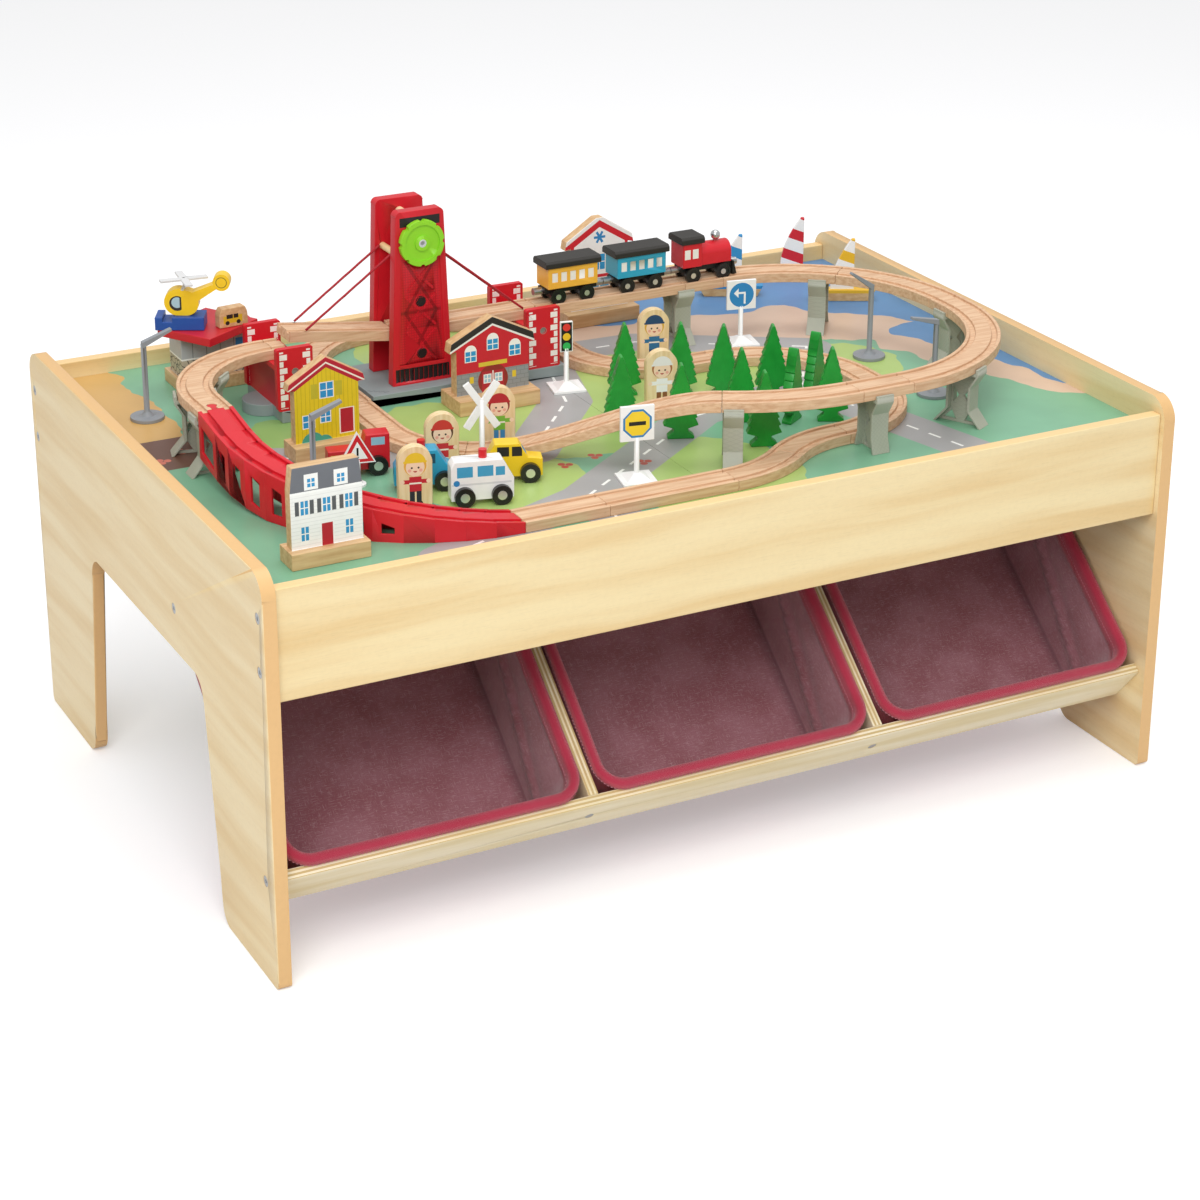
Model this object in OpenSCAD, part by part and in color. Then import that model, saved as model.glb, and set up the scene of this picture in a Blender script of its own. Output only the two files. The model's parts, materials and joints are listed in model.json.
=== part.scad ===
// Train table: a maple table with three slanted fabric bins under a printed playboard,
// a two-level railway with a lifting bridge, a three-car train and town pieces.
// X runs along the table, the bins face -Y, Z is up, the floor is z = 0.

/* [Table] */
// Length over the end panels
table_l = 1100; // [1080:5:1130]
// Depth of the end panels
table_d = 756; // [752:1:780]
// Height of the end panels
table_h = 460; // [456:1:480]
// Thickness of the end panels
panel_t = 15; // [12:0.5:18]
// Radius of the upper panel corners
panel_r = 28; // [15:1:34]
// Height of the opening between the panel feet
arch_h = 270; // [240:1:290]
// Height of the front and back aprons
apron_h = 122; // [100:1:130]
// Thickness of the aprons
apron_t = 15; // [12:0.5:18]

/* [Playboard] */
// Height of the playboard surface
board_z = 422; // [418:1:430]
// Thickness of the playboard
board_t = 9; // [6:0.5:11]
// Height of the battens below the board
batten_h = 14; // [10:1:18]

/* [Bins] */
// Thickness of the bin rails and dividers
rail_t = 12; // [10:0.5:14]
// Height of the bin rails
rail_h = 60; // [50:1:66]
// Depth of a bin
bin_depth = 116; // [90:1:118]
// Width of a bin over its rim
bin_w = 342; // [320:1:344]
// Wall thickness of a bin
bin_wall = 3; // [2:0.5:4]

/* [Track] */
// Width of the track
track_w = 40; // [39:0.5:41]
// Thickness of the track
track_t = 12; // [11.5:0.5:12.5]
// Depth of the wheel grooves
groove_d = 3; // [2:0.25:3.5]
// Width of the wheel grooves
groove_w = 6.4; // [6:0.1:7]
// Height of the track risers
riser_h = 65; // [64:0.5:66]

/* [Bridge] */
// Height of the tower above the board
tower_h = 223; // [215:1:235]
// Thickness of the tower plates
tower_t = 14; // [12:0.5:15]
// Angle of the left leaf as it stands
leaf_rise = 8; // [4:0.5:10]
// Diameter of the winch knob
knob_d = 55; // [48:1:58]

/* [Town] */
// Height of the pine trees
tree_h = 88; // [80:1:96]
// Width of the pine trees
tree_w = 40; // [34:1:42]
// Height of the wooden figures
figure_h = 68; // [60:1:74]
// Width of the wooden figures
figure_w = 37; // [32:1:40]

/* [Hidden] */
$fn = 48;
half_l = table_l / 2;
half_d = table_d / 2;
inner_x = half_l - panel_t;
apron_in = 356;
board_top = board_z;
tilt = 40;
frame_y = -240.4;
frame_z = 226.5;
rail_u = 160.8;
divider_x = 179;
bin_len = 318;
seam = 0.3;
play = 0.3;
ground_top = board_z + track_t;
deck_z = board_z + riser_h;
upper_top = deck_z + track_t;
line_y = 155;
tower_x = -157;
hinge_dx = 30;
hinge_z = upper_top - track_t / 2;
plate_in = track_w / 2 + 2;
base_t = 14;
wheel_d = 20;
axle_z = upper_top - groove_d + wheel_d / 2;
gauge = 12.5;
road_wheel_d = 22;

// Piece to show

// Colours
maple = [0.90, 0.79, 0.60];
ply = [0.86, 0.79, 0.64];
beech = [0.80, 0.64, 0.47];
crimson = [0.69, 0.13, 0.24];
red = [0.80, 0.06, 0.10];
grey = [0.55, 0.58, 0.58];
riser_grey = [0.66, 0.66, 0.60];
steel = [0.70, 0.70, 0.70];
black = [0.08, 0.08, 0.08];
green = [0.08, 0.55, 0.15];
lime = [0.55, 0.85, 0.12];
white = [0.93, 0.93, 0.93];
yellow = [0.95, 0.75, 0.10];
blue = [0.15, 0.45, 0.80];

// Outline helpers
module round_box_2d(w, d, r) {
    translate([-w / 2 + r, -d / 2 + r]) circle(r);
    translate([w / 2 - r, -d / 2 + r]) circle(r);
    translate([-w / 2 + r, d / 2 - r]) circle(r);
    translate([w / 2 - r, d / 2 - r]) circle(r);
    square([w, d - 2 * r], center = true);
    square([w - 2 * r, d], center = true);
}

module box_between(lo, hi) {
    translate(lo) cube(hi - lo);
}

// Table
panel_screw_spots = [[-363, 411.6], [-363, 353.3], [-354, 116], [-109, 320],
    [363, 411.6], [363, 353.3]];
screw_r = 6;
screw_sink = 2;

module corner_cut(r) {
    difference() {
        translate([-0.5, -0.5]) square([r + 0.5, r + 0.5]);
        translate([r, r]) circle(r);
    }
}

arch_foot = [-221, 212];
arch_head = [-191, 180];
module arch_2d() {
    fillet = 25;
    polygon([[arch_foot[0], -1], [arch_foot[0], 0], [arch_head[0], arch_h - fillet],
        [arch_head[0] + fillet, arch_h], [arch_head[1] - fillet, arch_h],
        [arch_head[1], arch_h - fillet], [arch_foot[1], 0], [arch_foot[1], -1]]);
    translate([arch_head[0] + fillet + 1, arch_h - fillet]) circle(fillet);
    translate([arch_head[1] - fillet - 1, arch_h - fillet]) circle(fillet);
    translate([arch_foot[0] + 1.5, 0]) mirror([1, 0]) corner_cut(22);
    translate([arch_foot[1] - 1.5, 0]) corner_cut(22);
}

module panel_2d() {
    difference() {
        translate([-half_d, 0]) square([table_d, table_h]);
        translate([-half_d, table_h]) mirror([0, 1]) corner_cut(panel_r);
        translate([half_d, table_h]) mirror([0, 1]) mirror([1, 0]) corner_cut(panel_r);
        translate([-half_d, 0]) corner_cut(6);
        translate([half_d, 0]) mirror([1, 0]) corner_cut(6);
        arch_2d();
    }
}

module end_panel() {
    difference() {
        translate([inner_x, 0, 0]) rotate([90, 0, 90]) linear_extrude(panel_t) panel_2d();
        for (p = panel_screw_spots)
            translate([half_l - screw_sink, p[0], p[1]]) rotate([0, 90, 0])
                cylinder(h = screw_sink + 1, r = screw_r + 0.1);
    }
}

module end_panels() {
    color(maple) {
        end_panel();
        mirror([1, 0, 0]) end_panel();
    }
}

apron_z = table_h - 18 - apron_h;
module apron() {
    box_between([-inner_x, apron_in, apron_z], [inner_x, apron_in + apron_t, apron_z + apron_h]);
}

module aprons() {
    color(maple) {
        apron();
        mirror([0, 1, 0]) apron();
    }
}

module playboard() {
    color(white) {
        box_between([-inner_x, -apron_in, board_z - board_t],
            [-seam / 2, apron_in, board_z]);
        box_between([seam / 2, -apron_in, board_z - board_t],
            [inner_x, apron_in, board_z]);
    }
}

module battens() {
    batten_w = 34;
    color(ply)
        for (x = [-inner_x + batten_w / 2, -divider_x, 0, divider_x, inner_x - batten_w / 2])
            box_between([x - batten_w / 2, -apron_in, board_z - board_t - batten_h],
                [x + batten_w / 2, apron_in, board_z - board_t]);
}

// Bin frame, tilted about the X direction
module on_frame() {
    translate([0, frame_y, frame_z]) rotate([tilt, 0, 0]) children();
}

module bin_rail(u) {
    on_frame()
        box_between([-inner_x, u - rail_t / 2, -rail_h], [inner_x, u + rail_t / 2, 0]);
}

module bin_rails() {
    color(ply)
        difference() {
            union() {
                bin_rail(-rail_u);
                bin_rail(rail_u);
            }
            rail_screws(0.1, 1);
        }
}

module bin_dividers() {
    gap_u = rail_u - rail_t / 2;
    color(ply)
        for (x = [-divider_x, divider_x])
            on_frame()
                box_between([x - rail_t / 2, -gap_u, -rail_h], [x + rail_t / 2, gap_u, 0]);
}

module screw_head(r, h) {
    difference() {
        cylinder(h = h, r = r);
        translate([0, 0, h - 1]) cylinder(h = 2, r = 2.4, $fn = 6);
    }
}

module rail_screws(extra, over) {
    for (x = [-divider_x, divider_x])
        on_frame()
            translate([x, -rail_u - rail_t / 2 + screw_sink, -rail_h / 2])
                rotate([90, 0, 0]) cylinder(h = screw_sink + over, r = 5 + extra);
}

module screws() {
    color(steel) {
        for (p = panel_screw_spots, s = [-1, 1])
            translate([s * (half_l - screw_sink), p[0], p[1]]) rotate([0, s * 90, 0])
                screw_head(screw_r, screw_sink - 0.2);
        rail_screws(0, -0.2);
    }
}

// Bins
module bin_block(w, l, w2, l2, z0, z1, r) {
    hull() {
        translate([0, 0, z1 - 0.01]) linear_extrude(0.01) round_box_2d(w, l, r);
        translate([0, 0, z0]) linear_extrude(0.01) round_box_2d(w2, l2, r);
    }
}

module bin_shell(w) {
    body_w = w - 6;
    body_l = 300;
    low_w = w - 26;
    low_l = 294;
    on_frame()
        difference() {
            union() {
                bin_block(body_w, body_l, low_w, low_l, -bin_depth, 2, 30, $fn = 32);
                translate([0, 0, play]) linear_extrude(3) round_box_2d(w, bin_len, 30, $fn = 32);
            }
            bin_block(body_w - 2 * bin_wall, body_l - 2 * bin_wall, low_w - 2 * bin_wall,
                low_l - 2 * bin_wall, -bin_depth + bin_wall, 4, 27, $fn = 32);
        }
}

module bin_left() {
    color(crimson) translate([-360, 0, 0]) bin_shell(bin_w);
}

module bin_middle() {
    color(crimson) bin_shell(bin_w - 1);
}

module bin_right() {
    color(crimson) translate([360, 0, 0]) bin_shell(bin_w);
}

// Track
module track_2d(w = track_w, t = track_t) {
    difference() {
        translate([-w / 2, 0]) square([w, t]);
        for (s = [-1, 1])
            translate([s * gauge - groove_w / 2, t - groove_d])
                square([groove_w, groove_d + 1]);
    }
}

peg_r = 5.4;
neck_w = 6;
peg_out = 11;

// Peg along +X from the origin
module peg_2d(grow = 0) {
    translate([peg_out, 0]) circle(peg_r + grow);
    translate([-1, -neck_w / 2 - grow]) square([peg_out + 1, neck_w + 2 * grow]);
}

module straight_piece(l, peg, socket) {
    difference() {
        union() {
            translate([seam / 2, 0, 0]) rotate([90, 0, 90])
                linear_extrude(l - seam) track_2d();
            if (peg) translate([l - seam / 2, 0, 0])
                linear_extrude(track_t - groove_d) peg_2d();
        }
        if (socket) translate([seam / 2, 0, -1])
            linear_extrude(track_t - groove_d + 1 + play) peg_2d(0.4);
    }
}

// Curve starting at the origin along +X, turning left for turn > 0, else right
module curve_piece(r, turn, peg, socket) {
    a = abs(turn);
    gap = seam / 2 / r * 180 / PI;
    side = turn > 0 ? 1 : -1;
    end = [r * sin(a), side * r * (1 - cos(a)), 0];
    difference() {
        union() {
            translate([0, side * r, 0])
                rotate([0, 0, side > 0 ? -90 + gap : 90 - a + gap])
                    rotate_extrude(angle = a - 2 * gap, $fn = 96)
                        translate([r, 0]) track_2d();
            if (peg) translate(end) rotate([0, 0, turn])
                linear_extrude(track_t - groove_d) peg_2d();
        }
        if (socket) translate([0, 0, -1])
            linear_extrude(track_t - groove_d + 1 + play) peg_2d(0.4);
    }
}

// A run is a list of [length] straights and [radius, turn] curves
function is_curve(p) = len(p) == 2;
function step_end(pose, p) = is_curve(p)
    ? let (a = pose[2], s = p[1] > 0 ? 1 : -1, t = abs(p[1]),
        dx = p[0] * sin(t), dy = s * p[0] * (1 - cos(t)))
        [pose[0] + dx * cos(a) - dy * sin(a), pose[1] + dx * sin(a) + dy * cos(a), a + p[1]]
    : [pose[0] + p[0] * cos(pose[2]), pose[1] + p[0] * sin(pose[2]), pose[2]];
function run_pose(pose, parts, n) = n == 0 ? pose
    : step_end(run_pose(pose, parts, n - 1), parts[n - 1]);

module track_run(pose, parts, z, first_socket = false, last_peg = false) {
    for (i = [0 : len(parts) - 1]) {
        at = run_pose(pose, parts, i);
        peg = i < len(parts) - 1 || last_peg;
        socket = i > 0 || first_socket;
        translate([at[0], at[1], z]) rotate([0, 0, at[2]])
            if (is_curve(parts[i])) curve_piece(parts[i][0], parts[i][1], peg, socket);
            else straight_piece(parts[i][0], peg, socket);
    }
}

left_end = -316;
right_end = 2;
module upper_track_left() {
    color(beech)
        difference() {
            track_run([left_end, line_y, 180], [[17], [127, 45], [127, 45], [43]], deck_z);
            translate([ramp_start[0], ramp_start[1] - 0.1, deck_z - 1]) rotate([0, 0, 90])
                linear_extrude(track_t + 2) peg_2d(0.4);
        }
}

upper_right_parts = [[199], [54], [200, -45], [200, -45], [24], [200, -45],
    [200, -45], [65.5], [291, -30]];
module upper_track_right() {
    color(beech) track_run([right_end, line_y, 0], upper_right_parts, deck_z);
}

// Climbing piece: side profile from the loop down to the board
climb_from = run_pose([right_end, line_y, 0], upper_right_parts, 9);
climb_l = 280;
climb_steps = 28;
function ease(t) = t * t * (3 - 2 * t);
function climb_z(t) = deck_z - riser_h * ease(t);
function climb_curve(lift) = [for (i = [0 : climb_steps])
    [seam / 2 + (climb_l - seam) * i / climb_steps, climb_z(i / climb_steps) + lift]];
function reversed(v) = [for (i = [len(v) - 1 : -1 : 0]) v[i]];

module climb_band(low, high, y, w) {
    translate([0, y + w / 2, 0]) rotate([90, 0, 0]) linear_extrude(w)
        polygon(concat(climb_curve(low), reversed(climb_curve(high))));
}

module climbing_track() {
    color(beech)
        translate([climb_from[0], climb_from[1], 0]) rotate([0, 0, climb_from[2]])
            difference() {
                climb_band(0, track_t, 0, track_w);
                for (s = [-1, 1])
                    climb_band(track_t - groove_d, track_t + 2, s * gauge, groove_w);
            }
}

climb_end = [climb_from[0] + climb_l * cos(climb_from[2]),
    climb_from[1] + climb_l * sin(climb_from[2]), climb_from[2]];
cross_x = -252;
cross_from = 96;
cross_to = 214;
ground_a = [[108, -60], [cross_from - 3.5]];
ground_b = [[116, -90], [70], [116, -90], [62], [98, 90], [45], [125, -90], [40],
    [117, -90], [144.1, 38.95], [144.1, -38.95], [155], [98.6]];
module ground_track() {
    color(beech) {
        track_run(climb_end, ground_a, board_z);
        translate([0, 0, 1.2]) track_run([cross_x, cross_from, 90],
            [[cross_to - cross_from]], board_z);
        track_run([cross_x, cross_to, 90], ground_b, board_z);
    }
}

// Plastic ramp: straight top then a quarter curve down to the board
ramp_start = [-460, -15];
ramp_straight = 51;
ramp_r = 226;
ramp_arc = ramp_r * PI / 2;
ramp_l = ramp_straight + ramp_arc;
ramp_wall = 3;
function ramp_pose(d) = d < ramp_straight
    ? [ramp_start[0], ramp_start[1] - d, -90]
    : let (a = 180 + (d - ramp_straight) / ramp_r * 180 / PI)
        [ramp_start[0] + ramp_r + ramp_r * cos(a),
        ramp_start[1] - ramp_straight + ramp_r * sin(a), a + 90];
function ramp_z(d) = ground_top + riser_h * (1 - d / ramp_l);
function ramp_low(d) = max(board_z + 0.05, ramp_z(d) - 54);
ramp_bends = 12;
ramp_cuts = concat([0], [for (i = [0 : ramp_bends])
    ramp_straight + (ramp_arc - seam) * i / ramp_bends]);
ramp_split = ramp_straight + ramp_arc * 5.5 / ramp_bends;

// Along the chord of a ramp bay
module on_bay(i) {
    p0 = ramp_pose(ramp_cuts[i]);
    p1 = ramp_pose(ramp_cuts[i + 1]);
    translate([p0[0], p0[1], 0]) rotate([0, 0, atan2(p1[1] - p0[1], p1[0] - p0[0])])
        children();
}

function bay_l(i) = norm([for (k = [0, 1])
    ramp_pose(ramp_cuts[i + 1])[k] - ramp_pose(ramp_cuts[i])[k]]);

// Sloping bar of a ramp bay, from low to high about the running surface
module ramp_bar(i, lap, low, high, y, w) {
    l = bay_l(i);
    z0 = ramp_z(ramp_cuts[i]);
    z1 = ramp_z(ramp_cuts[i + 1]);
    rise = (z1 - z0) / l * lap;
    translate([0, y + w / 2, 0]) rotate([90, 0, 0]) linear_extrude(w)
        polygon([[-lap, z0 - rise + low], [l + lap, z1 + rise + low],
            [l + lap, z1 + rise + high], [-lap, z0 - rise + high]]);
}

module ramp_side(i, lap, y) {
    l = bay_l(i);
    z0 = ramp_z(ramp_cuts[i]);
    z1 = ramp_z(ramp_cuts[i + 1]);
    low0 = ramp_low(ramp_cuts[i]);
    low1 = ramp_low(ramp_cuts[i + 1]);
    bar = 8;
    translate([0, y + ramp_wall / 2, 0]) rotate([90, 0, 0]) linear_extrude(ramp_wall)
        difference() {
            polygon([[-lap, low0], [l + lap, low1], [l + lap, z1 - 3], [-lap, z0 - 3]]);
            if (z1 - low1 > 30)
                polygon([[bar, low0 + 9], [l - bar, low1 + 9], [l - bar, z1 - 15],
                    [bar, z0 - 15]]);
        }
}

module plastic_ramp() {
    lap = 1.4;
    side = track_w / 2 - ramp_wall / 2;
    split = ramp_pose(ramp_split);
    top = ramp_pose(0);
    foot = ramp_pose(ramp_l);
    color(red) {
        difference() {
            for (i = [0 : len(ramp_cuts) - 2])
                on_bay(i) {
                    ramp_bar(i, lap, -6, 0, 0, track_w);
                    for (s = [-1, 1]) ramp_side(i, lap, s * side);
                }
            for (i = [0 : len(ramp_cuts) - 2], s = [-1, 1])
                on_bay(i) ramp_bar(i, lap + 1, -groove_d, 2, s * gauge, groove_w);
            translate([split[0], split[1], board_z]) rotate([0, 0, split[2]])
                translate([-seam / 2, -track_w, -1]) cube([seam, 2 * track_w, 2 * riser_h]);
            translate([top[0] - track_w, top[1] - seam, board_z - 1])
                cube([2 * track_w, 10, 2 * riser_h]);
            translate([foot[0] - seam, foot[1] - track_w, board_z - 1])
                cube([10, 2 * track_w, 2 * riser_h]);
        }
        translate([top[0], top[1] - seam, deck_z + 6]) rotate([0, 0, 90])
            linear_extrude(track_t - 6 - 0.6) peg_2d();
    }
}

// Risers
riser_spots = [[55, -236, 151.5, 26], [215, -269, 0, 20], [350, -245, 28.4, 30],
    [455, -72, 90, 30], [378, 113, 142, 30], [201, 155, 0, 30], [-455.7, 60.9, 75, 30],
    [-460, -3.5, 90, 30], [-422.8, 117.8, 45, 30]];
riser_len = 22;
function riser_half(z, foot) = z < 18 ? foot - (foot - 15) * z / 18 : z < 46 ? 15
    : 15 + (24 - 15) * (z - 46) / (riser_h - 4 - 46);

module riser_flange(side, foot) {
    zs = [0, 6, 12, 18, 46, 52, riser_h - 4];
    out = [for (z = zs) [side * riser_half(z, foot), z]];
    in = [for (z = zs) [side * (riser_half(z, foot) - 3), z]];
    translate([riser_len / 2, 0, 0]) rotate([90, 0, -90]) linear_extrude(riser_len)
        polygon(concat(out, reversed(in)));
}

module riser(foot) {
    zs = [0, 18, 46, riser_h - 4];
    riser_flange(1, foot);
    riser_flange(-1, foot);
    difference() {
        translate([2, 0, 0]) rotate([90, 0, -90]) linear_extrude(4)
            polygon(concat([for (z = zs) [riser_half(z, foot) - 1, z]],
                reversed([for (z = zs) [1 - riser_half(z, foot), z]])));
        translate([10, 0, 0]) rotate([90, 0, -90]) linear_extrude(20)
            for (s = [-1, 1]) {
                polygon([[s * 10, 24], [s * 10, 42], [s * 3, 33]]);
                polygon([[s * (foot - 8), 3], [s * 11, 14], [s * 5, 3]]);
            }
    }
    translate([-riser_len / 2, -24, riser_h - 4]) cube([riser_len, 48, 4]);
    for (s = [-1, 1])
        translate([-riser_len / 2, s * 22.2 - 1.6, riser_h - 2]) cube([riser_len, 3.2, 7]);
}

module risers() {
    color(riser_grey)
        for (p = riser_spots)
            translate([p[0], p[1], board_z]) rotate([0, 0, p[2]]) riser(p[3]);
}

// Bridge
module bridge_base() {
    color(grey)
        difference() {
            union() {
                box_between([-340, 100, board_z], [20, 210, board_z + base_t]);
                translate([-340, line_y, board_z]) cylinder(h = base_t, r = 26);
            }
            box_between([cross_x - track_w / 2 - 4, 99, board_z + 1.2],
                [cross_x + track_w / 2 + 4, 211, board_z + base_t + 1]);
        }
}

pier_w = 44;
pier_t = 8;
pier_top = board_z + 88;
module pier(x, wall_x) {
    z0 = board_z + base_t;
    difference() {
        union() {
            for (y = [101, 209 - pier_t])
                translate([x, y + pier_t, (z0 + pier_top) / 2]) rotate([90, 0, 0])
                    linear_extrude(pier_t) round_box_2d(pier_w, pier_top - z0, 3);
            box_between([x - pier_w / 2 + 3, 101 + pier_t - 1, deck_z - 6],
                [x + pier_w / 2 - 3, 210 - pier_t, deck_z]);
            box_between([wall_x - 2, 101 + pier_t - 1, z0], [wall_x + 2, 210 - pier_t, deck_z]);
        }
        for (y = [99, 209 - 2])
            translate([x, y, board_z + 60]) rotate([-90, 0, 0]) cylinder(h = 4, r = 3.5);
    }
}

module bridge_piers() {
    color(red) {
        pier(-322, -338);
        pier(-9, 7);
    }
}

tower_low = 76;
tower_up = 60;
module tower_2d() {
    z0 = board_z + base_t;
    z1 = board_z + tower_h;
    r = 7;
    polygon([[-tower_low / 2, z0], [tower_low / 2, z0], [tower_up / 2, z1 - r],
        [tower_up / 2 - r, z1], [-tower_up / 2 + r, z1], [-tower_up / 2, z1 - r]]);
    for (s = [-1, 1]) translate([s * (tower_up / 2 - r), z1 - r]) circle(r);
}

winch_z = board_z + 185;
shaft_r = 5;
pin_r = 2.2;
guide_dx = 22;
guide_z = board_z + 168;
module tower_plate_front() {
    z0 = board_z + base_t;
    face = line_y - plate_in - tower_t;
    difference() {
        translate([tower_x, line_y - plate_in, 0]) rotate([90, 0, 0])
            linear_extrude(tower_t) tower_2d();
        translate([tower_x, face - 1, z0 + 24]) rotate([-90, 0, 0]) mirror([0, 1, 0])
            linear_extrude(2.5)
                polygon([[-30, 0], [30, 0], [24.5, 128], [-24.5, 128]]);
        for (i = [-5 : 5])
            box_between([tower_x + i * 6 - 1.6, face - 1, z0 + 4],
                [tower_x + i * 6 + 1.6, face + 1.5, z0 + 19]);
        tower_bores();
    }
    lattice(face);
}

module lattice(face) {
    z0 = board_z + base_t + 24;
    step = 42;
    for (i = [0 : 2])
        for (s = [-1, 1])
            translate([tower_x, face + 2, z0 + 21 + i * step]) rotate([90, 0, 0])
                rotate([0, 0, s * 45]) translate([0, 0, 0]) linear_extrude(1.4)
                    square([i == 2 ? 44 : 52, 3], center = true);
    for (z = [z0 + 12, z0 + 75])
        translate([tower_x, face + 2, z]) rotate([90, 0, 0]) cylinder(h = 1.8, r = 6, $fn = 6);
}

module tower_bores() {
    translate([tower_x, line_y - 60, winch_z]) rotate([-90, 0, 0])
        cylinder(h = 60 + plate_in + 8, r = shaft_r + 0.08);
    for (s = [-1, 1]) {
        translate([tower_x + s * guide_dx, line_y - plate_in - 6, guide_z]) rotate([-90, 0, 0])
            cylinder(h = 2 * plate_in + 12, r = 4.03);
        translate([tower_x + s * hinge_dx, line_y - plate_in - 6, hinge_z]) rotate([-90, 0, 0])
            cylinder(h = 2 * plate_in + 12, r = pin_r + 0.03);
    }
    translate([tower_x, line_y - plate_in - 6, board_z + 207]) rotate([-90, 0, 0])
        cylinder(h = 2 * plate_in + 12, r = 5.03);
}

module tower_plates() {
    color(red) {
        tower_plate_front();
        difference() {
            translate([tower_x, line_y + plate_in + tower_t, 0]) rotate([90, 0, 0])
                linear_extrude(tower_t) tower_2d();
            tower_bores();
        }
    }
}

module bridge_deck() {
    deck_l = 2 * hinge_dx - 13.6;
    color(beech) {
        translate([tower_x - deck_l / 2, line_y, deck_z]) rotate([90, 0, 90])
            linear_extrude(deck_l) track_2d(2 * plate_in);
    }
}

module tower_dowels() {
    color(maple) {
        for (s = [-1, 1])
            translate([tower_x + s * guide_dx, line_y - plate_in - 5.9, guide_z])
                rotate([-90, 0, 0]) cylinder(h = 2 * plate_in + 11.8, r = 4);
        translate([tower_x, line_y - plate_in - 5.9, board_z + 207])
            rotate([-90, 0, 0]) cylinder(h = 2 * plate_in + 11.8, r = 5);
    }
}

module hinge_pins() {
    color(steel)
        for (s = [-1, 1])
            translate([tower_x + s * hinge_dx, line_y - plate_in - 5.9, hinge_z])
                rotate([-90, 0, 0]) cylinder(h = 2 * plate_in + 11.8, r = pin_r);
}

knob_t = 7;
module winch() {
    face = line_y - plate_in - tower_t;
    color(lime)
        translate([tower_x, face - 0.6, winch_z]) rotate([90, 0, 0])
            difference() {
                cylinder(h = knob_t, d = knob_d);
                for (i = [0 : 7])
                    rotate([0, 0, i * 45]) translate([knob_d / 2 + 0.6, 0, -1])
                        cylinder(h = knob_t + 2, r = 3);
                translate([0, 0, knob_t - 2]) difference() {
                    cylinder(h = 3, r = knob_d / 2 - 6);
                    translate([0, 0, -1]) cylinder(h = 5, r = 9);
                }
                translate([0, 0, knob_t - 1]) cylinder(h = 2, r = 3, $fn = 6);
            }
    color(beech)
        translate([tower_x, face - 0.6 - 0.5, winch_z]) rotate([-90, 0, 0])
            cylinder(h = tower_t + 2 * plate_in + 8, r = shaft_r);
    color(beech)
        translate([tower_x, line_y - plate_in + 1, winch_z]) rotate([-90, 0, 0])
            cylinder(h = 2 * plate_in - 2, r = 8);
}

// Leaf along +X from its hinge axis
leaf_l = right_end - tower_x - hinge_dx - seam;
module leaf() {
    difference() {
        union() {
            translate([0, -track_w / 2, 0]) rotate([-90, 0, 0]) cylinder(h = track_w, r = track_t / 2);
            translate([0, 0, -track_t / 2]) rotate([90, 0, 90])
                linear_extrude(leaf_l) track_2d();
        }
        translate([0, -track_w, 0]) rotate([-90, 0, 0]) cylinder(h = 2 * track_w, r = pin_r + 0.06);
        for (s = [-1, 1])
            translate([-10, s * gauge - groove_w / 2, track_t / 2 - groove_d])
                cube([20, groove_w, groove_d + 1]);
        for (s = [-1, 1])
            translate([leaf_l - 20, s * 18, -track_t]) cylinder(h = 2 * track_t, r = 1.7);
    }
}

module leaf_left() {
    color(beech)
        translate([tower_x - hinge_dx, line_y, hinge_z]) mirror([1, 0, 0])
            rotate([0, -leaf_rise, 0]) leaf();
}

module leaf_right() {
    color(beech) translate([tower_x + hinge_dx, line_y, hinge_z]) leaf();
}

cord_r = 1.4;
module cord_between(a, b) {
    v = b - a;
    l = norm(v);
    translate(a) rotate([0, acos(v[2] / l), atan2(v[1], v[0])]) cylinder(h = l, r = cord_r);
}

module lift_cords(side, rise) {
    tip = leaf_l - 20;
    z = track_t / 2 + 1.6;
    for (s = [-1, 1])
        cord_between([tower_x + side * (hinge_dx + tip * cos(rise) - z * sin(rise)),
            line_y + s * 18, hinge_z + tip * sin(rise) + z * cos(rise)],
            [tower_x + side * (guide_dx + 5.6), line_y + s * 18, guide_z + 2]);
}

module lift_cords_left() {
    color(red) lift_cords(-1, leaf_rise);
}

module lift_cords_right() {
    color(red) lift_cords(1, 0);
}

// Train
car_x = [50, 143, 236];
car_base = [38, 38, 42];
body_low = axle_z + 11;
module train_bodies() {
    color(yellow) coach_box(car_x[0]);
    color(blue) coach_box(car_x[1]);
    color(red) {
        translate([car_x[2] - 11, line_y, body_low]) rotate([90, 0, 90])
            linear_extrude(44) {
                translate([-13, 0]) square([26, 13]);
                translate([0, 13]) circle(13);
            }
        box_between([car_x[2] - 36, line_y - 16, body_low], [car_x[2] - 10, line_y + 16, body_low + 30]);
    }
}

module coach_box(x) {
    difference() {
        box_between([x - 33, line_y - 16, body_low], [x + 33, line_y + 16, body_low + 26]);
        for (i = [-2 : 2], s = [-1, 1])
            box_between([x + i * 12 - 4, line_y + s * 16 - 0.6, body_low + 8],
                [x + i * 12 + 4, line_y + s * 16 + 0.6, body_low + 20]);
    }
}

module roof(x0, x1, z) {
    translate([x0, line_y, z]) rotate([90, 0, 90]) linear_extrude(x1 - x0)
        polygon([[-18, 0], [18, 0], [18, 6], [15, 9], [-15, 9], [-18, 6]]);
}

module train_roofs() {
    color(black) {
        roof(car_x[0] - 37, car_x[0] + 37, body_low + 26);
        roof(car_x[1] - 37, car_x[1] + 37, body_low + 26);
        roof(car_x[2] - 39, car_x[2] - 7, body_low + 30);
    }
    color(steel) translate([car_x[2] + 17, line_y, body_low + 26]) {
        cylinder(h = 5, r = 2.6);
        translate([0, 0, 6.5]) sphere(6);
    }
}

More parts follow.
